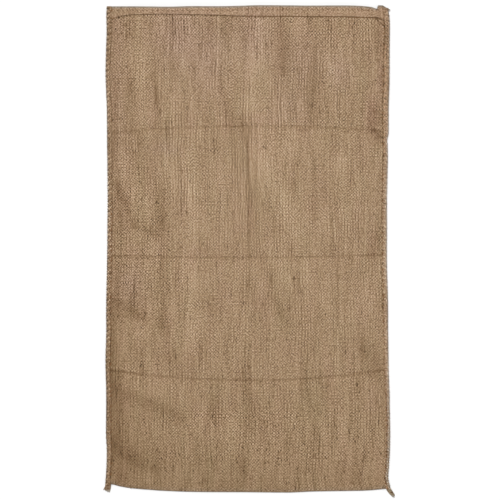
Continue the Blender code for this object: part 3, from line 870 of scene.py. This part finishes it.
# the side seams: each a roll of the two selvedges, bound by one twine that winds round and round
seam = {
    "ringEvery": 2.0,
    "swell": ((0.22, 37.0), (0.16, 15.3)),
    "puff": 1.5,  # how far the roll swells between two stitches
    "ragged": 0.25,
    "twineRadius": {-1: 0.7, 1: 0.95},
    "turnPoints": 11,
    "middle": (5.45, 3.85),  # of the twine's winding, from the seam's outer edge and the surface
    "reach": {-1: (5.1, 2.8), 1: (4.7, 2.75)},
    "stray": (0.5, 0.05, 0.03),  # how far a turn lies off down the seam, in length, and in width and slant
    "twineEnd": (316.5, 5.6, 5.6),  # across, down from the mouth and up
    "twineEndReach": (11.0, 3.0, -2.2),
    "endRadii": (1.05, 1.5, 1.5, 1.275, 0.825, 0.225),
    "lozenge": {-1: 0.35, 1: 0.8},  # how pale the roll is between two stitches, left and right
    "paleBand": (5.0, 3.2),  # where across the roll, and how wide
    "paleTo": (0.8, 850.0, 90.0),  # it fades by so much, from there down
    "paleTone": 1.5,
    "paleTint": 1.2,
    "tight": {-1: 0.1, 1: 0.45},
    "drawnIn": {-1: 0.1, 1: 1.9},  # at the mouth, on its outer side
    "endShade": {-1: 0.3, 1: 1.3},  # just below its upper end
    "endShadeAt": (4.5, 2.4, 12.5, 3.0),  # how far below and how long, how far in and how soft
    "dashes": {-1: 3.2, 1: 0.8},  # how much darker its outer side is at each stitch, a painted shade where the twine sinks in
    "outerFade": (1.6, 1.2, 0.8),
    "dustAbove": 3.5,  # dust lies only on the roll's upper side
    "dustStitch": 1.35,
    "tightReach": (38.0, 7.0, 4.0),  # how far the drawn-in end goes, down and across
    "dentReach": (10.0, 8.0),
    "squareness": 0.75,  # of the twine's turns: 1 is an oval
    "crown": (6.25, 0.35, 6.4, 4.2),  # the roll's top: its height, its drop, and where and how wide that is
    "crownEdge": (11.0, 4.5),
    "slotRows": (19, 20),  # the slot's end, which no dent moves
}
rollRows = rowsOf(
    "depth height swell",
    (11, 5.05, 0), (11.1, 5.5, 0), (10.4, 5.9, 0.2), (9, 6.1, 0.6), (7.2, 6.25, 1), (5.4, 6.3, 1),
    (3.6, 6.2, 1), (2, 5.7, 1), (0.8, 4.8, 1), (0.15, 3.8, 1), (0, 3, 1), (0.25, 2.1, 1), (1, 1.2, 0.8),
    (2.2, 0.6, 0.3), (3.8, 0.45, 0), (7, 0.4, 0), (10.3, 0.45, 0), (11, 0.7, 0), (11, 1.25, 0), (3.8, 1.3, 0),
    (3.8, 5, 0),
)
# how dark each seam is down its length, and its outer side apart, which carries painted light and shade where
# the roll turns down from the light
seamTones = rowsOf(
    "down left leftRim leftWide right rightRim rightWide",
    (0, -0.5, -1.5, 4.4, 0.3, 0.2, 3.6), (32, -0.4, -1.4, 4.4, 0, 0.1, 3.6),
    (45, -0.4, -1.3, 4.3, -1.3, -0.2, 3.6), (86, -0.4, -1.2, 4.2, -1.2, -0.2, 3.6),
    (104, -0.3, -1.1, 4.2, -0.4, 0, 3.6), (140, -0.3, -1, 4.2, -0.3, 0.1, 3.6),
    (200, -0.1, -0.8, 4.2, 0, 0.4, 3.6), (330, -0.2, -0.6, 4.2, 0.4, 1.1, 4.2),
    (500, -0.1, -0.6, 4.2, 0.4, 1.2, 4.2), (640, -0.1, -1.1, 4.2, 0.5, 1.5, 4.2),
    (700, -0.6, -2, 4.4, 0.5, 1.4, 4.2), (830, -0.6, -2, 4.4, 0.4, 1.2, 4.6),
    (930, -0.6, -1.8, 4.4, -0.2, 0.4, 7), (1113, -0.7, -1.8, 4.4, -0.2, 0.4, 7),
)
# where a seam's outer side is drawn in by a fold, or swells
dents = rowsOf(
    "sign down reach depth",
    (1, 305, 9, 2.7), (1, 321, 17, 1.5), (1, 1080, 14, -0.9), (-1, 22, 22, -1), (-1, 182, 22, 0.5),
    (-1, 1092, 9, -0.8),
)


def dented(sign, down):
    return sum(dent.depth * hump(down - dent.down, dent.reach) for dent in dents if dent.sign == sign)


def seamEnds(sign):
    edge = sign * (side - sack["seamWidth"] + sack["edgeInSeam"])
    return smooth(acrossRows, "mouth", edge), smooth(acrossRows, "bottom", edge) + 1.0


def seamPlace(sign, depth, down, height):
    return drifted(sign * (side - depth), down, height)


def rollPuff(sign, down, depth):
    # 0 at a stitch and 1 half way to the next; the twine slants, so this shifts across the roll
    first, last = seamEnds(sign)
    turns = ceil((last - first) / sack["stitchPitch"])
    phase = (down - first) / (last - first) * turns - 0.5 * (1 - min(depth / sack["seamWidth"], 1.0))
    return 0.5 - 0.5 * cos(2 * pi * phase)


def rollSwell(sign, down, puff):
    base = sum(size * sin(down / reach) for size, reach in seam["swell"])
    return base + seam["puff"] * (puff - 0.7) - seam["tight"][sign]


def rollMarks(sign, row, down, first, puff):
    # the outer side, where the roll turns from the light, is greyer with painted light and shade; at each
    # stitch the roll is darker, a painted shade where the twine sinks in, and between two stitches paler and
    # pinker
    nearby = "left" if sign < 0 else "right"
    dusty = 0.0
    if row.height > seam["dustAbove"]:
        dusty = seamDust(sign * (side - row.depth), down) * (seam["dustStitch"] - puff)
    soft, most, less = seam["outerFade"]
    outer = ease((smooth(seamTones, nearby + "Wide", down) - row.depth) / soft) * (most - less * puff)
    (middle, wide), (fading, start, over) = seam["paleBand"], seam["paleTo"]
    pale = seam["lozenge"][sign] * (puff - 0.25) * hump(row.depth - middle, wide)
    pale *= 1.0 - fading * ease((down - start) / over)
    plain, rimmed = smooth(seamTones, nearby, down), smooth(seamTones, nearby + "Rim", down)
    tone = plain + (rimmed - plain) * outer + seam["paleTone"] * pale - dustAndPaintedShading["dustDark"] * dusty
    tone -= seam["dashes"][sign] * (0.5 - puff) * min(outer, 1.0)
    below, long, inward, soft = seam["endShadeAt"]
    tone -= seam["endShade"][sign] * hump(down - first - below, long) * ease((inward - row.depth) / soft)
    return tone, 0.1 + seam["paleTint"] * pale, dusty, min(outer, 1.0)


def mend(piece, near, angle, closeEnds=False):
    selectOnly(piece)
    bpy.ops.object.mode_set(mode="EDIT")
    bpy.ops.mesh.select_all(action="SELECT")
    bpy.ops.mesh.remove_doubles(threshold=near)
    if closeEnds:
        bpy.ops.mesh.select_all(action="DESELECT")
        bpy.ops.mesh.select_non_manifold()
        bpy.ops.mesh.edge_face_add()
        bpy.ops.mesh.select_all(action="SELECT")
    bpy.ops.mesh.normals_make_consistent(inside=False)
    bpy.ops.object.mode_set(mode="OBJECT")
    bpy.ops.object.shade_smooth_by_angle(angle=radians(angle))


def makeRoll(name, sign, node):
    # a grid rolled up into the seam's section, with the cloth's own weave going on over it
    first, last = seamEnds(sign)
    rings = ceil((last - first) / seam["ringEvery"])
    rows = rollRows + rollRows[:1]
    bpy.ops.object.select_all(action="DESELECT")
    bpy.ops.mesh.primitive_grid_add(x_subdivisions=len(rows) - 1, y_subdivisions=rings)
    roll = bpy.context.object
    roll.name = name
    middle, height = seam["middle"]
    (endReach, tightTo, tightOver), (dentTo, dentOver) = seam["tightReach"], seam["dentReach"]
    places, marks, weave, girth = [], [], [], [0.0]
    for before, after in zip(rows, rows[1:]):
        girth.append(girth[-1] + hypot(after.depth - before.depth, after.height - before.height))
    for ring in range(rings + 1):
        down = first + (last - first) * ring / rings
        for number, row in enumerate(rows):
            puff = rollPuff(sign, down, row.depth)
            ragged = seam["ragged"] * ripple(down / 5.0, (number % len(rollRows)) / 3.0, 3.0 * sign)
            out = row.swell * (rollSwell(sign, down, puff) + ragged)
            tightened = (1 - ease((down - first) / endReach)) * ease((tightTo - row.depth) / tightOver)
            out -= seam["drawnIn"][sign] * row.swell * tightened
            away = Vector((row.depth - middle, row.height - height)).normalized() * out
            inward = 0.0
            if number not in seam["slotRows"]:
                inward = dented(sign, down) * ease((dentTo - row.depth) / dentOver)
            places.extend(seamPlace(sign, row.depth + away[0] + inward, down, row.height + away[1]))
            marks.append(rollMarks(sign, row, down, first, puff))
            weave.append((mm * (side + sign * (side - sack["seamWidth"] + girth[number])), mm * down))
    roll.data.vertices.foreach_set("co", places)
    setMarks(roll.data, marks, weave)
    mend(roll, 0.00001, 50, closeEnds=True)
    roll.data.materials.clear()
    roll.data.materials.append(seamHessian)
    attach(roll, "root")
    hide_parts(node)


def makeTwine(name, route, radii, sides=1):
    # a thread along a route of points, as a mesh; radii in millimetres
    line = bpy.data.curves.new(name, "CURVE")
    line.dimensions = "3D"
    line.bevel_depth = 1.0
    line.bevel_resolution = sides
    line.use_fill_caps = True
    spline = line.splines.new("POLY")
    spline.points.add(len(route) - 1)
    for point, spot, radius in zip(spline.points, route, radii):
        point.co = (*spot, 1.0)
        point.radius = mm * radius
    thread = bpy.data.objects.new(name, line)
    bpy.context.scene.collection.objects.link(thread)
    selectOnly(thread)
    bpy.ops.object.convert(target="MESH")
    mend(thread, 0.00002, 70)
    return thread


def makeDash(name, steps, thick, blunt, power, placeAt):
    # a short thread that is thickest in its middle; blunt is its ends' share of that
    shares = [k / steps for k in range(steps + 1)]
    radii = [thick * (blunt + (1 - blunt) * sin(pi * t) ** power) for t in shares]
    return makeTwine(name, [placeAt(t) for t in shares], radii)


def copyOf(pattern, spot, turn, size=(1.0, 1.0, 1.0)):
    copy = pattern.copy()
    copy.data = pattern.data.copy()
    bpy.context.scene.collection.objects.link(copy)
    copy.location, copy.rotation_euler, copy.scale = spot, turn, size
    return copy


def joinAll(name, parts, twine, patterns=()):
    for pattern in patterns:
        bpy.data.objects.remove(pattern)
    bpy.ops.object.select_all(action="DESELECT")
    for part in parts:
        part.select_set(True)
    bpy.context.view_layer.objects.active = parts[0]
    bpy.ops.object.join()
    whole = bpy.context.object
    bpy.ops.object.transform_apply(location=True, rotation=True, scale=True)
    whole.name = name
    whole.data.materials.clear()
    whole.data.materials.append(twineOf[twine])
    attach(whole, "root")
    print(name + ":", len(whole.data.polygons), "faces")
    return whole


def makeOvercast(name, sign, twine):
    # one turn of the twine, copied to every stitch hole down the seam
    chance = Random(11 + sign)
    first, last = seamEnds(sign)
    turns = ceil((last - first) / sack["stitchPitch"])
    pitch = (last - first) / turns
    (middle, height), (wide, tall) = seam["middle"], seam["reach"][sign]
    steps, route = seam["turnPoints"] - 1, []
    for k in range(steps + 1):
        angle = 2 * pi * k / steps
        out, up = (abs(v) ** seam["squareness"] * (1 if v > 0 else -1) for v in (cos(angle), sin(angle)))
        route.append((-sign * mm * wide * out, -mm * pitch * k / steps, mm * tall * up))
    strayDown, strayLong, strayTurn = seam["stray"]
    pattern = makeTwine(name + "Turn", route, [seam["twineRadius"][sign]] * len(route))
    made = []
    for turn in range(turns):
        down = first + pitch * turn
        inward = dented(sign, down + pitch / 2) / 2
        x, y, z = seamPlace(sign, middle + inward, down, height)
        y += mm * chance.uniform(-strayDown, strayDown)
        long = 1.0 + chance.uniform(-strayLong, strayLong)
        size = (1.0 + chance.uniform(-strayTurn, strayTurn) - inward / wide, long, 1.0)
        slope = (sideDrift(sign * side, down + pitch) - sideDrift(sign * side, down)) / pitch
        slant = (0.0, 0.0, slope + chance.uniform(-strayTurn, strayTurn))
        made.append(copyOf(pattern, (x, y, z), slant, size))
    if sign > 0:  # the twine's own end sticks out at the ear
        (across, down, up), (out, fall, rise) = seam["twineEnd"], seam["twineEndReach"]
        shares = (0.0, 0.2, 0.4, 0.6, 0.8, 1.0)
        route = [place(across + out * t, down + fall * t * t, up + rise * t) for t in shares]
        end = makeTwine("earTwine", route, seam["endRadii"])
        joinAll("earTwine", [end], "earTwineEnd")
    joinAll(name, made, twine, [pattern])


makeRoll("leftSeamRoll", -1, "side_seam_left")
makeRoll("rightSeamRoll", 1, "side_seam_right")
makeOvercast("leftOvercasting", -1, "seamTwineLeft")
makeOvercast("rightOvercasting", 1, "seamTwineRight")
print("seams ready")

# the hem's sewing: a row of sunk stitches along its middle, coloured near black as painted shade for the
# dimples they pull in the hem, and small crowns at its lower edge
hemSewing = {
    "pitch": 11.5,
    "fromSeam": 8.0,
    "length": 5.4,
    "radius": 0.85,
    "along": (-0.5, -0.42, -0.28, 0.0, 0.28, 0.42, 0.5),  # a stitch's points, as shares of its length
    "up": (-1.2, -0.35, 0.15, 0.3, 0.15, -0.35, -1.2),  # and of its radius
    "middleRow": 10.2,  # down from the mouth
    "lean": -0.6,
    "crownUp": 2.6,  # above the hem's edge
    "crownOff": 0.3,
    "crownLength": 4.6,
    "crownRadius": 0.55,
    "crownLean": 0.25,
    "bury": 0.35,
    "stray": (0.9, 0.5, 0.2),  # how far one may lie off across, down and aslant
    "sizes": (0.85, 1.15),
}


def frontTop(across, down, thick=sack["cloth"]):
    return roof(across, down) + thick + uneven(across, down) - depthOf(creases, across, down)


def hemTop(across, down):
    return frontTop(across, down, 3 * hemPly(across) + 2 * sack["plyGap"])


def makeHemStitches():
    chance = Random(5)
    pitch, length, radius = hemSewing["pitch"], hemSewing["length"], hemSewing["radius"]
    strayAcross, strayDown, strayTurn = hemSewing["stray"]
    route = [(mm * length * t, 0.0, mm * up * radius) for t, up in zip(hemSewing["along"], hemSewing["up"])]
    long = makeTwine("hemStitch", route, [radius] * len(route))
    route = [(x * hemSewing["crownLength"] / length, y, z) for x, y, z in route]
    short = makeTwine("hemCrown", route, [hemSewing["crownRadius"]] * len(route))
    stitches, crowns = [], []
    for k in range(int((sack["width"] - 2 * besideSeam - 10) / pitch)):
        across = -side + besideSeam + hemSewing["fromSeam"] + pitch * (k + 0.5)
        for crown in (False, True):
            spot = across + chance.uniform(-strayAcross, strayAcross)
            spot += hemSewing["crownOff"] * pitch if crown else 0.0
            if crown:
                down = smooth(acrossRows, "hem", spot) - hemSewing["crownUp"]
            else:
                down = hemSewing["middleRow"] + 0.5 * smooth(acrossRows, "mouth", spot)
            down += chance.uniform(-strayDown, strayDown)
            slope = (hemTop(spot + 3, down) - hemTop(spot - 3, down)) / 6
            lean = chance.uniform(-strayTurn, strayTurn) + hemSewing["crownLean" if crown else "lean"]
            where = drifted(spot, down, hemTop(spot, down) - hemSewing["bury"])
            size = (chance.uniform(*hemSewing["sizes"]), 1.0, 1.0)
            copy = copyOf(short if crown else long, where, (0.0, -slope, lean), size)
            (crowns if crown else stitches).append(copy)
    joinAll("hemCrowns", crowns, "hemTwine", [short])
    joinAll("hemStitches", stitches, "hemStitchShade", [long])


makeHemStitches()

# thick dark places in the yarn, each lying along it
flecks = rowsOf(
    "across down long thick",
    (-277, 139, 9, 0.8), (-133, 140, 5, 1), (-17, 212, 5, 1), (-200, 319, 5, 1), (-86, 331, 4, 1),
    (-311, 261, 5, 1.1), (-301, 259, 3, 0.8), (-295, 258, 3, 0.8), (-289, 258, 4, 0.9),
    (-297.5, 26.5, 5, 1.2), (-304.5, 53, 5, 1.2), (-148, 174, 4, 0.9), (-44, 93, 5, 0.9), (-42, 102, 4, 0.8),
    (84, 98, 5, 1), (78, 100, 3, 0.8), (201, 276.5, 4.5, 1.2), (292, 170, 4.5, 1), (219, 163, 4, 0.9),
    (191, 183, 6, 0.8), (148, 226, 12, 1), (37, 322, 9, 0.8), (238, 272, 9, 0.8), (-249, 402, 5, 1),
    (-210, 449, 7, 1.2), (-72, 594, 7, 1), (-46, 551, 9, 1), (-9, 679, 9, 1), (55, 461, 4.5, 1),
    (81, 478, 4.5, 1), (108, 622, 12, 1.1), (195, 677, 5, 0.9), (264, 701, 5, 1.2), (180, 705, 6, 0.9),
    (249, 407, 4.5, 0.9), (-312.4, 990, 5, 1.3), (-231, 976, 4.5, 1), (-203, 1021, 5, 0.9),
    (-198, 1034, 6, 0.9), (-308, 1040, 5, 1.3), (-290, 1026, 4, 1), (-300, 956, 4, 0.9), (-81, 937, 12, 1),
    (-88, 885, 5, 0.9), (-164, 801, 18, 0.7), (-23, 1043, 5, 0.9), (-10, 1062, 4.5, 0.9), (251, 867, 9, 1.2),
    (255, 883, 7, 0.9), (47, 906, 7, 0.9), (51, 931, 6, 0.9), (45, 950, 4.5, 0.8), (112, 940, 6, 1.2),
    (106, 963, 11, 1), (167, 927, 4.5, 1), (177, 938, 5, 0.9), (230, 970, 9, 0.9), (240, 990, 5, 1.1),
    (253, 986, 6, 0.9), (70, 1034, 7, 1), (77, 1039, 5, 0.9), (72, 1049, 7, 0.9), (109, 1103, 9, 1),
    (95, 1089, 5, 0.9), (117.5, 160, 46, 0.35), (206, 220, 84, 0.35), (-92, 426, 120, 0.35),
    (-46, 455, 68, 0.35), (-259, 650, 92, 0.35), (54, 622, 30, 0.4), (128, 659, 28, 0.4), (-96, 970, 27, 0.4),
    (265, 1026, 158, 0.35), (152, 1082, 50, 0.35), (-44, 896, 58, 0.35), (-8, 1085, 42, 0.4),
)
tailStain = ((329.0, 1112.0, 4.2), (330.7, 1113.7, 4.3), (332.1, 1115.6, 4.0))  # across, down and up
fleckShape = {"girth": 1.2, "ends": 0.25, "power": 0.6, "proud": 0.25, "stepEvery": 5.0}


def makeFlecks():
    chance = Random(47)
    made = []
    for fleck in flecks:
        lean = chance.uniform(-0.5, 0.5) * min(fleck.thick, 0.6)

        def placeAt(t):
            across, down = fleck.across + lean * (2 * t - 1), fleck.down + (t - 0.5) * fleck.long
            return drifted(across, down, frontTop(across, down) + fleckShape["proud"] * fleck.thick)

        steps = max(5, ceil(fleck.long / fleckShape["stepEvery"]))
        thick = fleck.thick * fleckShape["girth"]
        made.append(makeDash("fleck", steps, thick, fleckShape["ends"], fleckShape["power"], placeAt))
    made.append(makeTwine("tailStain", [place(*spot) for spot in tailStain], [0.8, 1.5, 0.8]))
    joinAll("flecks", made, "fleckTwine")


def seamTop(sign, depth, down):
    # the height of what is seen there from above: the roll, or the cloth just inside it
    if depth > sack["seamWidth"] + 0.2:
        return frontTop(sign * (side - depth), down)
    (top, drop, middle, wide), (edge, over) = seam["crown"], seam["crownEdge"]
    plain = top - drop * ((depth - middle) / wide) ** 2
    return plain + ease((edge - depth) / over) * rollSwell(sign, down, rollPuff(sign, down, depth))


holes = {
    "from": 26.0,  # below a seam's upper end, and the row's end above its lower one
    "to": 12.0,
    "long": (0.30, 0.70, 1.6),  # as a share of the way to the next, where dust is thin, and where this thick
    "sizes": (0.6, 1.1),
    "apart": (0.8, 1.2),
    "ends": (0.3, 0.6),
    "thick": {-1: 0.72, 1: 1.05},
    "step": {-1: 1.0, 1: 0.85},  # how many stitches apart they lie
    "stray": 2.6,  # how far one may lie from the row
    "skipped": {-1: 0.40, 1: 0.25},
}
lozenges = {
    "from": 94.0,  # down from the mouth
    "to": 345.0,
    "fading": (0.5, 160.0, 180.0),
    "every": 12.5,
    "apart": (0.9, 1.1),
    "long": 8.5,
    "lengths": (0.75, 1.1),
    "thick": 1.5,
    "girths": (0.8, 1.1),
    "ends": (0.35, 0.7),
    "inset": 10.0,
    "lean": 1.5,
    "height": (0.5, -0.2),  # how far its middle rises, and how it sits on the roll
}


def makeHoles():
    # dark dashes where the twine goes in beside each seam
    chance = Random(61)
    made = []
    for sign, nearby in ((-1, "left"), (1, "right")):
        first, last = seamEnds(sign)
        step = sack["stitchPitch"] * holes["step"][sign]
        low, high, full = holes["long"]
        down = first + holes["from"]
        while down < last - holes["to"]:
            share = smooth(dustRows, nearby + "Share", down)
            long = step * (low + (high - low) * min(share / full, 1.0)) * chance.uniform(*holes["sizes"])
            depth = smooth(dustRows, nearby + "In", down) + chance.uniform(-0.5, 0.5) * holes["stray"]
            thick = holes["thick"][sign] * min(share, 1.3) ** 0.5 * chance.uniform(*holes["sizes"])

            def placeAt(t):
                spot = down + (t - 0.5) * long
                return seamPlace(sign, depth, spot, seamTop(sign, depth, spot) + 0.1)

            if chance.random() > holes["skipped"][sign]:
                made.append(makeDash("hole", 5, thick, *holes["ends"], placeAt))
            down += step * chance.uniform(*holes["apart"])
    joinAll("stitchHoles", made, "holeDust")


def makeLozenges():
    # the stretches of twine that lie on the right seam's roll near the mouth
    chance = Random(62)
    made = []
    (less, start, over), (rise, seat) = lozenges["fading"], lozenges["height"]
    down = lozenges["from"]
    while down < lozenges["to"]:
        long = lozenges["long"] * chance.uniform(*lozenges["lengths"])
        depth = lozenges["inset"] + chance.uniform(-0.5, 0.5)
        thick = lozenges["thick"] * (1.0 - less * ease((down - start) / over))
        thick *= chance.uniform(*lozenges["girths"])

        def placeAt(t):
            inward, spot = depth + lozenges["lean"] * (2 * t - 1), down + (t - 0.5) * long
            return seamPlace(1, inward, spot, seamTop(1, inward, spot) + rise * sin(pi * t) + seat)

        made.append(makeDash("lozenge", 6, thick, *lozenges["ends"], placeAt))
        down += lozenges["every"] * chance.uniform(*lozenges["apart"])
    joinAll("rightLozenges", made, "lozengeTwine")


makeFlecks()
makeHoles()
makeLozenges()

# loose fibres, and the tails, where the seams' twine and selvedges run out
loose = {
    "fibres": 260,
    "radii": (0.07, 0.14, 0.14, 0.14, 0.112, 0.056),
    "length": (7.0, 26.0),
    "curl": 0.16,
    "kinds": 8,
    "area": ((-304.0, 304.0), (32.0, 1085.0)),
    "height": 0.12,  # above the cloth
    "tuft": (-268.0, 1103.0, 4.5),  # across, down and up, on the bottom fold
    "tuftFray": (0.0416, 16, 3.6, 1.2),  # heading, how many, how long and how far they spread
}
tails = {
    "strandRadius": 1.15,
    "steps": 12,
    "frayRadius": 0.16,
    "frayCurl": 0.9,
    "frayLengths": (0.4, 1.0),
    "frayScatter": (1.0, 1.0, 0.6),
    "frayTaper": (1.15, 0.9),
    "leftFray": (-0.45, 6, 2.6, 0.5),
    "rightFray": (0.45, 16, 4.2, 0.35),
    "leftStrands": 9,
    "leftReach": (-0.05, 0.03),  # how much shorter or longer each strand is
    "leftLayers": (0.3, 0.95),  # how high the two layers of strands lie
    "leftSway": (0.35, 5.0, 2.1),
    "rightStrands": 5,
    "rightTwist": 2.6,  # radians from one end of the tail to the other
    "rightLean": 0.5,
    "rightEnd": (334.9, 1123.4, 1.6),
}
leftTail = rowsOf(
    "share leftAcross leftDown rightAcross rightDown height",
    (0, -325.2, 1095.9, -313.6, 1095.9, 4.4),
    (0.5, -326.4, 1100.6, -315, 1104.6, 3.3),
    (1, -328.8, 1107.6, -317, 1113.2, 2.3),
)
rightTail = rowsOf(
    "share across down width height",
    (0, 322.8, 1105.6, 10.4, 4.2),
    (0.35, 326.6, 1111.3, 10.4, 3.8),
    (0.7, 331.2, 1117.2, 9.8, 3.6),
    (1, 335, 1123, 8.6, 3.2),
)


def tailAt(rows, share):
    return (smooth(rows, name, share) for name in rows[0]._fields[1:])


def makeFray(chance, start, heading, count, reach, spreadBy):
    # loose fibres from a cut end, thinning to nothing
    made = []
    thickest, taper = tails["frayTaper"]
    for number in range(count):
        turn = heading + chance.uniform(-spreadBy, spreadBy)
        long = reach * chance.uniform(*tails["frayLengths"])
        curl = chance.uniform(-tails["frayCurl"], tails["frayCurl"])
        across, down, up = (at + chance.uniform(-off, off) for at, off in zip(start, tails["frayScatter"]))
        route, radii = [], []
        for t in (0.0, 0.25, 0.5, 0.75, 1.0):
            angle = turn + curl * t
            height = max(up * (1 - 0.6 * t) + 0.5 * sin(3 * t), tails["frayRadius"])
            route.append(place(across + long * t * sin(angle), down + long * t * cos(angle), height))
            radii.append(tails["frayRadius"] * (thickest - taper * t))
        made.append(makeTwine("fray", route, radii, sides=0))
    return made


def makeLooseFibres():
    # a few bent fibres, modelled once each and copied over the front, with more of them beside seams and hem
    chance = Random(31)
    patterns, made = [], []
    for kind in range(loose["kinds"]):
        long = chance.uniform(*loose["length"])
        curl = loose["curl"] * chance.uniform(-1.6, 1.6)
        route = []
        for t in (-0.5, -0.3, -0.1, 0.1, 0.3, 0.5):
            bow = 1 - 4 * t * t
            route.append((mm * long * t, -mm * long * curl * bow, mm * 0.25 * bow))
        patterns.append(makeTwine("fibre", route, loose["radii"], sides=0))
    for number in range(loose["fibres"]):
        across, down = (chance.uniform(*span) for span in loose["area"])
        if number % 3 == 0:
            across = chance.choice((-1, 1)) * (side - besideSeam - 4.0 - abs(chance.gauss(0.0, 7.0)))
        elif number % 7 == 1:
            down = chance.choice((smooth(acrossRows, "hem", across) + 4.0, 1100.0))
        where = drifted(across, down, frontTop(across, down) + loose["height"])
        made.append(copyOf(patterns[number % len(patterns)], where, (0.0, 0.0, chance.uniform(0.0, pi))))
    made += makeFray(chance, loose["tuft"], *loose["tuftFray"])
    joinAll("looseFibres", made, "looseFibre", patterns)


def makeLeftTail():
    chance = Random(21)
    thick, made = tails["strandRadius"], []
    sway, waves, apart = tails["leftSway"]
    for number in range(tails["leftStrands"]):
        t = number / (tails["leftStrands"] - 1)
        layer = tails["leftLayers"][number % 2]
        reach = 1.0 + chance.uniform(*tails["leftReach"])
        spots, radii = [], []
        for k in range(tails["steps"] + 1):
            share = k / tails["steps"] * reach
            startAcross, startDown, endAcross, endDown, height = tailAt(leftTail, share)
            across = startAcross + (endAcross - startAcross) * t
            across += sway * sin(waves * share + apart * number)
            up = thick + max(height - 2 * thick, 0.0) * layer + 0.2 * sin(4 * share + number)
            spots.append((across, startDown + (endDown - startDown) * t, max(up, thick)))
            radii.append(thick * (1.0 - 0.15 * share + 0.08 * sin(9 * share + 3 * number)))
        made.append(makeTwine("strand", [place(*spot) for spot in spots], radii))
        made += makeFray(chance, spots[-1], *tails["leftFray"])
    tail = joinAll("leftTail", made, "leftTailTwine")
    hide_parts("seam_tail_left")


def makeRightTail():
    chance = Random(22)
    lean, made = tails["rightLean"], []
    for number in range(tails["rightStrands"]):
        route, radii = [], []
        for k in range(tails["steps"] + 1):
            share = k / tails["steps"]
            across, down, width, height = tailAt(rightTail, share)
            radius = 0.30 * width * (1.0 - 0.25 * share)
            angle = 2 * pi * number / tails["rightStrands"] + tails["rightTwist"] * share + 0.4
            off = (width / 2 - radius) * cos(angle)
            up = radius * 0.8 + max(height - 1.6 * radius, 0.2) * (0.5 + 0.5 * sin(angle))
            route.append(place(across + off * cos(lean), down - off * sin(lean), max(up, radius * 0.75)))
            radii.append(radius * (0.95 - 0.3 * share**4))
        made.append(makeTwine("strand", route, radii))
    made += makeFray(chance, tails["rightEnd"], *tails["rightFray"])
    tail = joinAll("rightTail", made, "rightTailTwine")
    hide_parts("seam_tail_right")


makeLooseFibres()
makeLeftTail()
makeRightTail()

# the floor, the light and the camera
studio = {
    "floor": (0.93, 0.93, 0.93),
    "floorSize": 40.0,
    "worldLight": 0.60,
    "keyPlace": (-1.1, 1.3, 3.2),
    "keyPower": 2.0,
    "keySpread": 30.0,
    "cameraPlace": (0.0057, -0.0016, 2.708),
    "lens": 85.0,
}


def makeStudio():
    bpy.ops.mesh.primitive_plane_add(size=studio["floorSize"], location=(0, 0, -0.0002))
    floor = bpy.context.object
    floor.name = "floor"
    floor.data.materials.append(newLook("paleFloor"))
    shader = loom["tree"].nodes["Principled BSDF"]
    shader.inputs["Base Color"].default_value = (*studio["floor"], 1.0)
    shader.inputs["Roughness"].default_value = 0.9
    world = bpy.data.worlds.new("softRoom")
    world.use_nodes = True
    background = world.node_tree.nodes["Background"]
    background.inputs["Color"].default_value = (1.0, 1.0, 1.0, 1.0)
    background.inputs["Strength"].default_value = studio["worldLight"]
    bpy.context.scene.world = world
    bpy.ops.object.light_add(type="SUN", location=studio["keyPlace"])
    key = bpy.context.object
    key.name = "keyLight"
    key.data.angle = radians(studio["keySpread"])
    key.data.energy = studio["keyPower"]
    key.rotation_euler = (Vector((0.0, 0.0, 0.0)) - key.location).to_track_quat("-Z", "Y").to_euler()
    bpy.ops.object.camera_add(location=studio["cameraPlace"])
    camera = bpy.context.object
    camera.name = "camera"
    camera.data.lens = studio["lens"]
    bpy.context.scene.camera = camera


makeStudio()
print("floor, light and camera ready")

bpy.context.view_layer.update()
